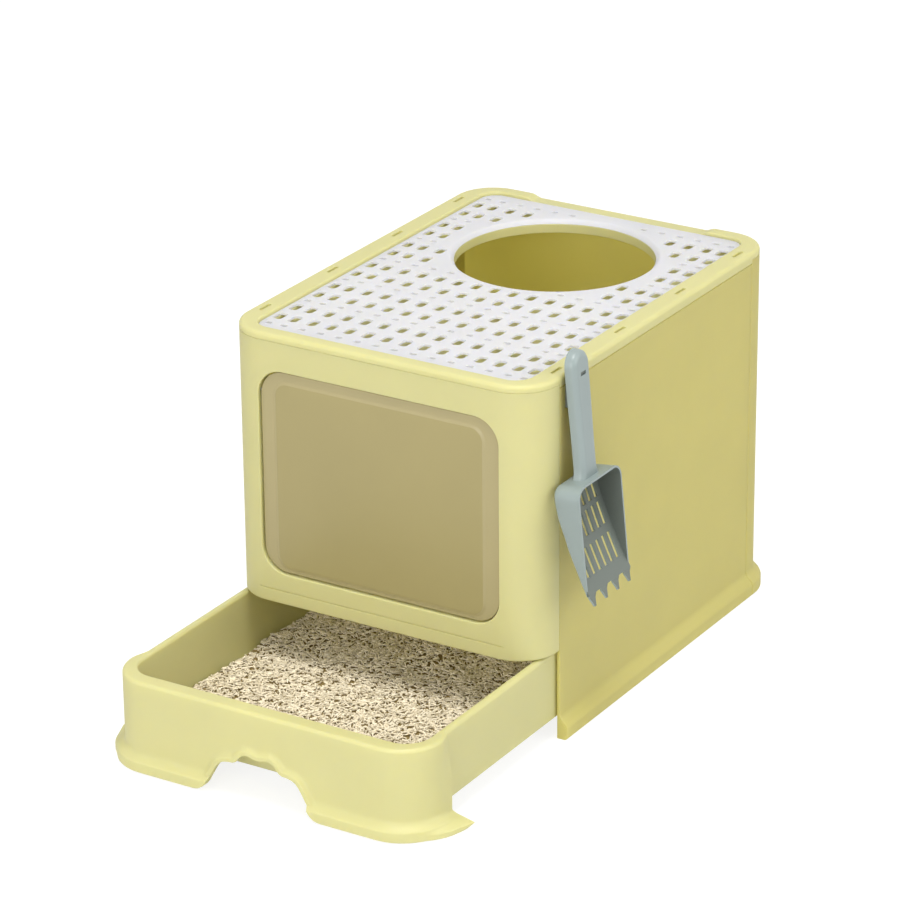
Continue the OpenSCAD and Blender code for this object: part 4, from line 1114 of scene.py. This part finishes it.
class LITTERBOX_OT_scoop(bpy.types.Operator):
    """Sifting scoop: a deep bowl with three rows of slots, four teeth and a channel handle"""
    bl_idname = "litterbox.scoop"
    bl_label = "Scoop"

    # Height of the bowl's upper edge and of its lip, and how far out its rim lies
    TOP_EDGE, LIP, RIM = -135.9, -252.9, 20.7
    # Bowl: half its width, its corners' radius, its depth, the run of its sloping floor, and
    # how far its walls go straight back before they round into the floor
    HALF, CORNER, DEEP, RUN, STRAIGHT, FLOOR_R = 44, 14, 33.5, 109, 25.5, 8
    # Length of the teeth, and the middles of the two on each side
    TOOTH, TEETH = 13, (11.97, 35.9)
    # Cells of half the bowl, counted from its middle, that a slot takes out or a tooth takes up
    SLOT_CELLS, TOOTH_CELLS = (2, 6, 10), (2, 3, 4, 5, 10, 11, 12, 13)
    # Three rows of slots, as shares of the run
    BANDS = [(0.09, 0.27), (0.33, 0.53), (0.61, 0.86)]
    # Columns across half the bowl: at the slots, and where the teeth begin
    AT_SLOTS = [0, 1.5, 3, 9, 10.8, 12.8, 15, 21, 22.8, 24.8, 27, 33, 34.6, 36.2, 38,
                39.7, 41.2, 42.4, 43.2, 43.65, 43.9, 44]
    AT_TEETH = [0, 2.6, 4.97, 8.4, 12, 15.6, 18.97, 21.4, 24, 26.5, 28.9, 32, 35.9, 39.7, 42.9,
                43.1, 43.3, 43.5, 43.65, 43.8, 43.9, 44]
    # The handle's half width and depth
    GRIP, GRIP_DEEP = 16.5, 12
    # Where the scoop hangs, and how far it tips outwards (degrees)
    HANGS, TIPS = (191.5, FRONT + 70, TOP + 24), -5.5

    def execute(self, context):
        shape = Shape()
        self.bowl(shape)
        self.handle(shape)
        scoop = shape.object("scoop_moulding")
        clean(scoop, recalculate=False)
        thick = scoop.modifiers.new("wall", "SOLIDIFY")
        thick.thickness, thick.offset, thick.use_even_offset = 0.0022, -1, True
        # The inner faces have their own duller finish, and a darker colour that is painted shade
        # inside the bowl
        skins = [polypropylene("moulded_abs_slate", "scoop", rough=0.36, glow=0, through=0),
                 slate_painted_shade()]
        for material in skins:
            scoop.data.materials.append(material)
        thick.material_offset = 1
        bevel = scoop.modifiers.new("edges", "BEVEL")
        bevel.width, bevel.segments, bevel.limit_method = 0.0006, 2, "ANGLE"
        bevel.angle_limit = radians(50)
        bake(scoop)
        hangs = Matrix.Translation(Vector(self.HANGS) / 1000)
        scoop.data.transform(hangs @ Matrix.Rotation(radians(self.TIPS), 4, "Y"))
        finish_piece(scoop, skins, "scoop", ["scoop"], sharp=42)
        return {"FINISHED"}

    def depth(self, y, z):
        """How far the bowl's outer skin lies behind its rim."""
        q = min(max((z - self.LIP) / self.RUN, 0), 1)
        slope = self.DEEP * (q + 0.30 * q * (1 - q))
        # Distance from the rim's outline, with its upper corners rounded
        dx, dz, r = self.HALF - abs(y), self.TOP_EDGE - z, self.CORNER
        inset = max(r - hypot(r - dx, r - dz) if dx < r and dz < r else min(dx, dz), 0)
        wall = self.STRAIGHT * min(inset, 1)
        if inset > 1:
            wall += sqrt(self.FLOOR_R ** 2 - (self.FLOOR_R - min(inset - 1, self.FLOOR_R)) ** 2)
        # The floor and the walls run softly into each other over twice this depth
        soft = 2.5
        mix = min(max(0.5 + (slope - wall) / (2 * soft), 0), 1)
        least = wall * mix + slope * (1 - mix) - soft * mix * (1 - mix)
        return max(min(least, self.DEEP), 0)

    def bowl(self, shape):
        """Bowl as a net whose cells are left out where the slots are."""
        heel, middle, stops = self.TOP_EDGE - 8, len(self.AT_SLOTS) - 1, 4
        # Rows: close together near the upper edge, then some between each slot's two ends
        marks = {heel - share * self.RUN for band in self.BANDS for share in band}
        marks = sorted(marks - {max(marks)} | {max(marks) + 1.0}, reverse=True)
        rows = [self.TOP_EDGE - t for t in (0, 0.25, 0.6, 1.0, 1.5, 2.3, 3.4, 4.8, 6.4, 8.2, 10.5,
                                            13, 16)]
        rows = [z for z in rows if z > marks[0] + 0.4]
        for a, b in zip(marks, marks[1:] + [self.LIP]):
            rows += [a + (b - a) * k / stops for k in range(stops)]
        rows.append(self.LIP)
        # Below this height the columns spread out to the teeth
        fan = marks[-1] - 3
        nets = []
        for z in rows:
            share = smooth((fan - z) / (fan - self.LIP))
            width = 1 - round_off(self.TOP_EDGE - z, self.CORNER) / self.HALF
            half = [(a + (b - a) * share) * width for a, b in zip(self.AT_SLOTS, self.AT_TEETH)]
            nets.append([(self.RIM - self.depth(y, z), y, z) for y in self.mirrored(half)])
        lean = atan2(self.DEEP, self.RUN)
        for k in range(1, 9):
            far, taper = self.TOOTH * k / 8, 0.21 + 0.79 * (1 - k / 8) ** 1.2
            near, outer = self.TEETH
            middles = [near if y < (near + outer) / 2 else outer for y in self.AT_TEETH]
            half = [c + (y - c) * taper for c, y in zip(middles, self.AT_TEETH)]
            x = self.RIM - 1.1 * min(k / 2, 1) + far * sin(lean)
            nets.append([(x, y, self.LIP - far * cos(lean)) for y in self.mirrored(half)])
        n, faces = len(nets[0]), []
        for i, (row, after) in enumerate(zip(nets, nets[1:])):
            z = (row[0][2] + after[0][2]) / 2
            in_band = any(heel - a * self.RUN + 1 > z > heel - b * self.RUN
                          for a, b in self.BANDS)
            for j in range(n - 1):
                cell = j - middle if j >= middle else middle - 1 - j
                if i >= len(rows) - 1:
                    kept = cell in self.TOOTH_CELLS
                else:
                    kept = not (in_band and cell in self.SLOT_CELLS)
                if kept:
                    a, b = i * n + j, (i + 1) * n + j
                    faces.append((a, a + 1, b + 1, b))
        shape.add([p for row in nets for p in row], faces)

    def mirrored(self, half):
        """Stops across the whole width from those of its right half."""
        return [-y for y in reversed(half[1:])] + half

    def handle(self, shape):
        """Handle: a channel that is open behind, with a round top and a slit for the peg."""
        end, grip, edge, straight = self.TOP_EDGE - 1.2, self.GRIP, 0.5, 5.6
        slit_foot, slit_half = -27, 6.3
        # Across the channel: how far each line lies inside its outline, and how far out
        rows = [(0, 0), (edge / 2, 3.5), (edge, straight)]
        rows += [(edge + 7.5 * (1 - cos(a)), straight + (self.GRIP_DEEP - straight) * sin(a))
                 for a in (radians(turn) for turn in (12, 24, 36, 48, 60, 72, 82, 90))]
        levels = [end, end + 3, end + 7, end + 13, -105, -75, -45, -30, slit_foot, -23, -20, -grip]

        def half(z):
            """Half the width: the handle narrows a little downwards, then flares to the bowl."""
            return (grip - 1.3 * smooth((-30 - z) / 75)
                    + 3.2 * max(0, (end + 13 - z) / 13) ** 2.2)

        lines = []
        for g, x in rows:
            left = [(x, g - half(z), z) for z in levels]
            dome = [(x, -y, z) for y, z in arc(0, -grip, grip - g, 0, 180, 20)[1:-1]]
            lines.append(left + dome + [(x, -y, z) for x, y, z in reversed(left)])
        shape.loft([list(reversed(line)) for line in lines], ends=False, around=False)
        # The channel's bottom: three cells across, of which the slit leaves one out
        face, pairs = lines[-1], len(lines[-1]) // 2
        points = []
        for near, far in zip(face[:pairs], reversed(face)):
            x, y, z = near
            mid = min(slit_half, 0.6 * abs(y))
            points += [near, (x, -mid, z), (x, mid, z), far]
        points.append(face[pairs])
        cells = [4 * k + c for k in range(pairs) for c in range(3)]
        quads = [(a, a + 1, a + 5, a + 4) for a in cells[:-3]
                 if a != 4 * levels.index(slit_foot) + 1]
        quads += [(a, a + 1, len(points) - 1) for a in cells[-3:]]
        shape.add(points, quads)


# ---- pieces that keep their CAD shape ----

class LITTERBOX_OT_fittings(bpy.types.Operator):
    """Base tray, hinge pins and scoop hook: their finishes"""
    bl_idname = "litterbox.fittings"
    bl_label = "Base tray, pins and hook"

    def execute(self, context):
        steel = drawn_steel("drawn_steel_wire", "pin")
        # The scoop hook takes the darker slate as a painted shadow beside the scoop's handle.
        finishes = {"base_tray": panel_plastic(), "hinge_pin_left": steel,
                    "hinge_pin_right": steel, "scoop_hook": slate_painted_shade()}
        for name, material in finishes.items():
            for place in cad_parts[name].material_slots:
                place.material = material
        return {"FINISHED"}


# ---- stage ----

class LITTERBOX_OT_stage(bpy.types.Operator):
    """White floor, soft studio lamps, and the camera"""
    bl_idname = "litterbox.stage"
    bl_label = "Floor, lamps and camera"

    def execute(self, context):
        self.floor()
        self.world(context.scene)
        # A broad key from the front, a stronger lamp overhead and a fill far off to the right
        self.lamp("key", (0.2, -2.9, 0.8), 2.0, 42)
        self.lamp("overhead", (0.4, -0.8, 3.1), 1.6, 68)
        self.lamp("fill", (3.0, 0.4, 1.7), 2.4, 42)
        self.camera(context.scene)
        context.scene.view_settings.view_transform = "Standard"
        return {"FINISHED"}

    def seen(self, tree):
        """1 for rays that show the background: straight ones, mirrored ones and bent ones."""
        path = add_node(tree, "ShaderNodeLightPath", {})
        first = add_node(tree, "ShaderNodeMath", {
            "operation": "MAXIMUM", 0: (path, "Is Camera Ray"), 1: (path, "Is Glossy Ray")})
        return add_node(tree, "ShaderNodeMath", {
            "operation": "MAXIMUM", 0: (first, 0), 1: (path, "Is Transmission Ray")})

    def floor(self):
        material, tree = start_material("painted_studio_floor")
        paint = add_node(tree, "ShaderNodeBsdfDiffuse", {"Color": (0.8, 0.8, 0.8, 1)})
        white = add_node(tree, "ShaderNodeEmission", {"Color": (1, 1, 1, 1), "Strength": 1.2})
        share = add_node(tree, "ShaderNodeMath",
                         {"operation": "MULTIPLY", 0: (self.seen(tree), 0), 1: 0.7})
        mixed = add_node(tree, "ShaderNodeMixShader",
                         {0: (share, 0), 1: (paint, 0), 2: (white, 0)})
        end_material(tree, mixed)
        reach, level = 9000, -0.6
        corners = [(x, y, level) for x, y in
                   ((-reach, -reach), (reach, -reach), (reach, reach), (-reach, reach))]
        floor = Shape().add(corners, [(0, 1, 2, 3)]).object("studio_floor")
        floor.data.materials.append(material)

    def world(self, scene):
        world = bpy.data.worlds.new("studio")
        scene.world = world
        world.use_nodes = True
        tree = world.node_tree
        tree.nodes.clear()
        level = add_node(tree, "ShaderNodeMapRange",
                         {"To Min": 0.66, "To Max": 1.0, "Value": (self.seen(tree), 0)})
        sky = add_node(tree, "ShaderNodeBackground",
                       {"Color": (1, 1, 1, 1), "Strength": (level, 0)})
        add_node(tree, "ShaderNodeOutputWorld", {"Surface": (sky, 0)})

    def lamp(self, name, place, width, power):
        light = bpy.data.lights.new(name, "AREA")
        light.shape, light.size, light.energy = "DISK", width, power
        obj = bpy.data.objects.new(name, light)
        obj.location = place
        obj.rotation_euler = (Vector((0, -0.1, 0.2)) - Vector(place)).to_track_quat(
            "-Z", "Y").to_euler()
        bpy.context.scene.collection.objects.link(obj)

    def camera(self, scene):
        """Camera about 31 degrees to the right of the front and 23 degrees up."""
        azimuth, elevation, roll = radians(30.916), radians(23.025), radians(-0.2214)
        back = Vector((sin(azimuth) * cos(elevation), -cos(azimuth) * cos(elevation),
                       sin(elevation)))
        right = Vector((0, 0, 1)).cross(back).normalized()
        up = back.cross(right)
        right, up = (cos(roll) * right + sin(roll) * up, -sin(roll) * right + cos(roll) * up)
        data = bpy.data.cameras.new("camera")
        data.sensor_width, data.lens = 36, 167.56
        data.shift_x, data.shift_y = -0.0621, 0.0067
        data.clip_end = 60
        obj = bpy.data.objects.new("camera", data)
        looks_at, distance = Vector((0, 0, 0.205)), 4.57515
        obj.matrix_world = Matrix.Translation(looks_at + back * distance) @ Matrix(
            (right, up, back)).transposed().to_4x4()
        scene.collection.objects.link(obj)
        scene.camera = obj


class LITTERBOX_PT_pieces(bpy.types.Panel):
    """Buttons for the pieces, and their sizes and colours"""
    bl_idname = "LITTERBOX_PT_pieces"
    bl_label = "Drawer litter box"
    bl_space_type = "VIEW_3D"
    bl_region_type = "UI"
    bl_category = "Litter box"

    def draw(self, context):
        for operator in OPERATORS:
            self.layout.operator(operator.bl_idname)
        for group in (context.scene.litter_box_sizes, context.scene.litter_box_colours):
            for name in group.bl_rna.properties.keys():
                if name not in ("rna_type", "name"):
                    self.layout.prop(group, name)


OPERATORS = (LITTERBOX_OT_front_panel, LITTERBOX_OT_side_panels, LITTERBOX_OT_back_panel,
             LITTERBOX_OT_lid, LITTERBOX_OT_paw_plate, LITTERBOX_OT_door_flap,
             LITTERBOX_OT_drawer, LITTERBOX_OT_litter, LITTERBOX_OT_scoop,
             LITTERBOX_OT_fittings, LITTERBOX_OT_stage)
CLASSES = (LitterBoxSizes, LitterBoxColours, *OPERATORS, LITTERBOX_PT_pieces)


def register():
    for cls in CLASSES:
        bpy.utils.register_class(cls)
    bpy.types.Scene.litter_box_sizes = bpy.props.PointerProperty(type=LitterBoxSizes)
    bpy.types.Scene.litter_box_colours = bpy.props.PointerProperty(type=LitterBoxColours)


def unregister():
    del bpy.types.Scene.litter_box_colours
    del bpy.types.Scene.litter_box_sizes
    for cls in reversed(CLASSES):
        bpy.utils.unregister_class(cls)


def main():
    register()
    bpy.ops.litterbox.front_panel()
    bpy.ops.litterbox.side_panels()
    bpy.ops.litterbox.back_panel()
    bpy.ops.litterbox.lid()
    bpy.ops.litterbox.paw_plate()
    bpy.ops.litterbox.door_flap()
    bpy.ops.litterbox.drawer()
    bpy.ops.litterbox.litter()
    bpy.ops.litterbox.scoop()
    bpy.ops.litterbox.fittings()
    bpy.ops.litterbox.stage()


if __name__ == "__main__":
    main()
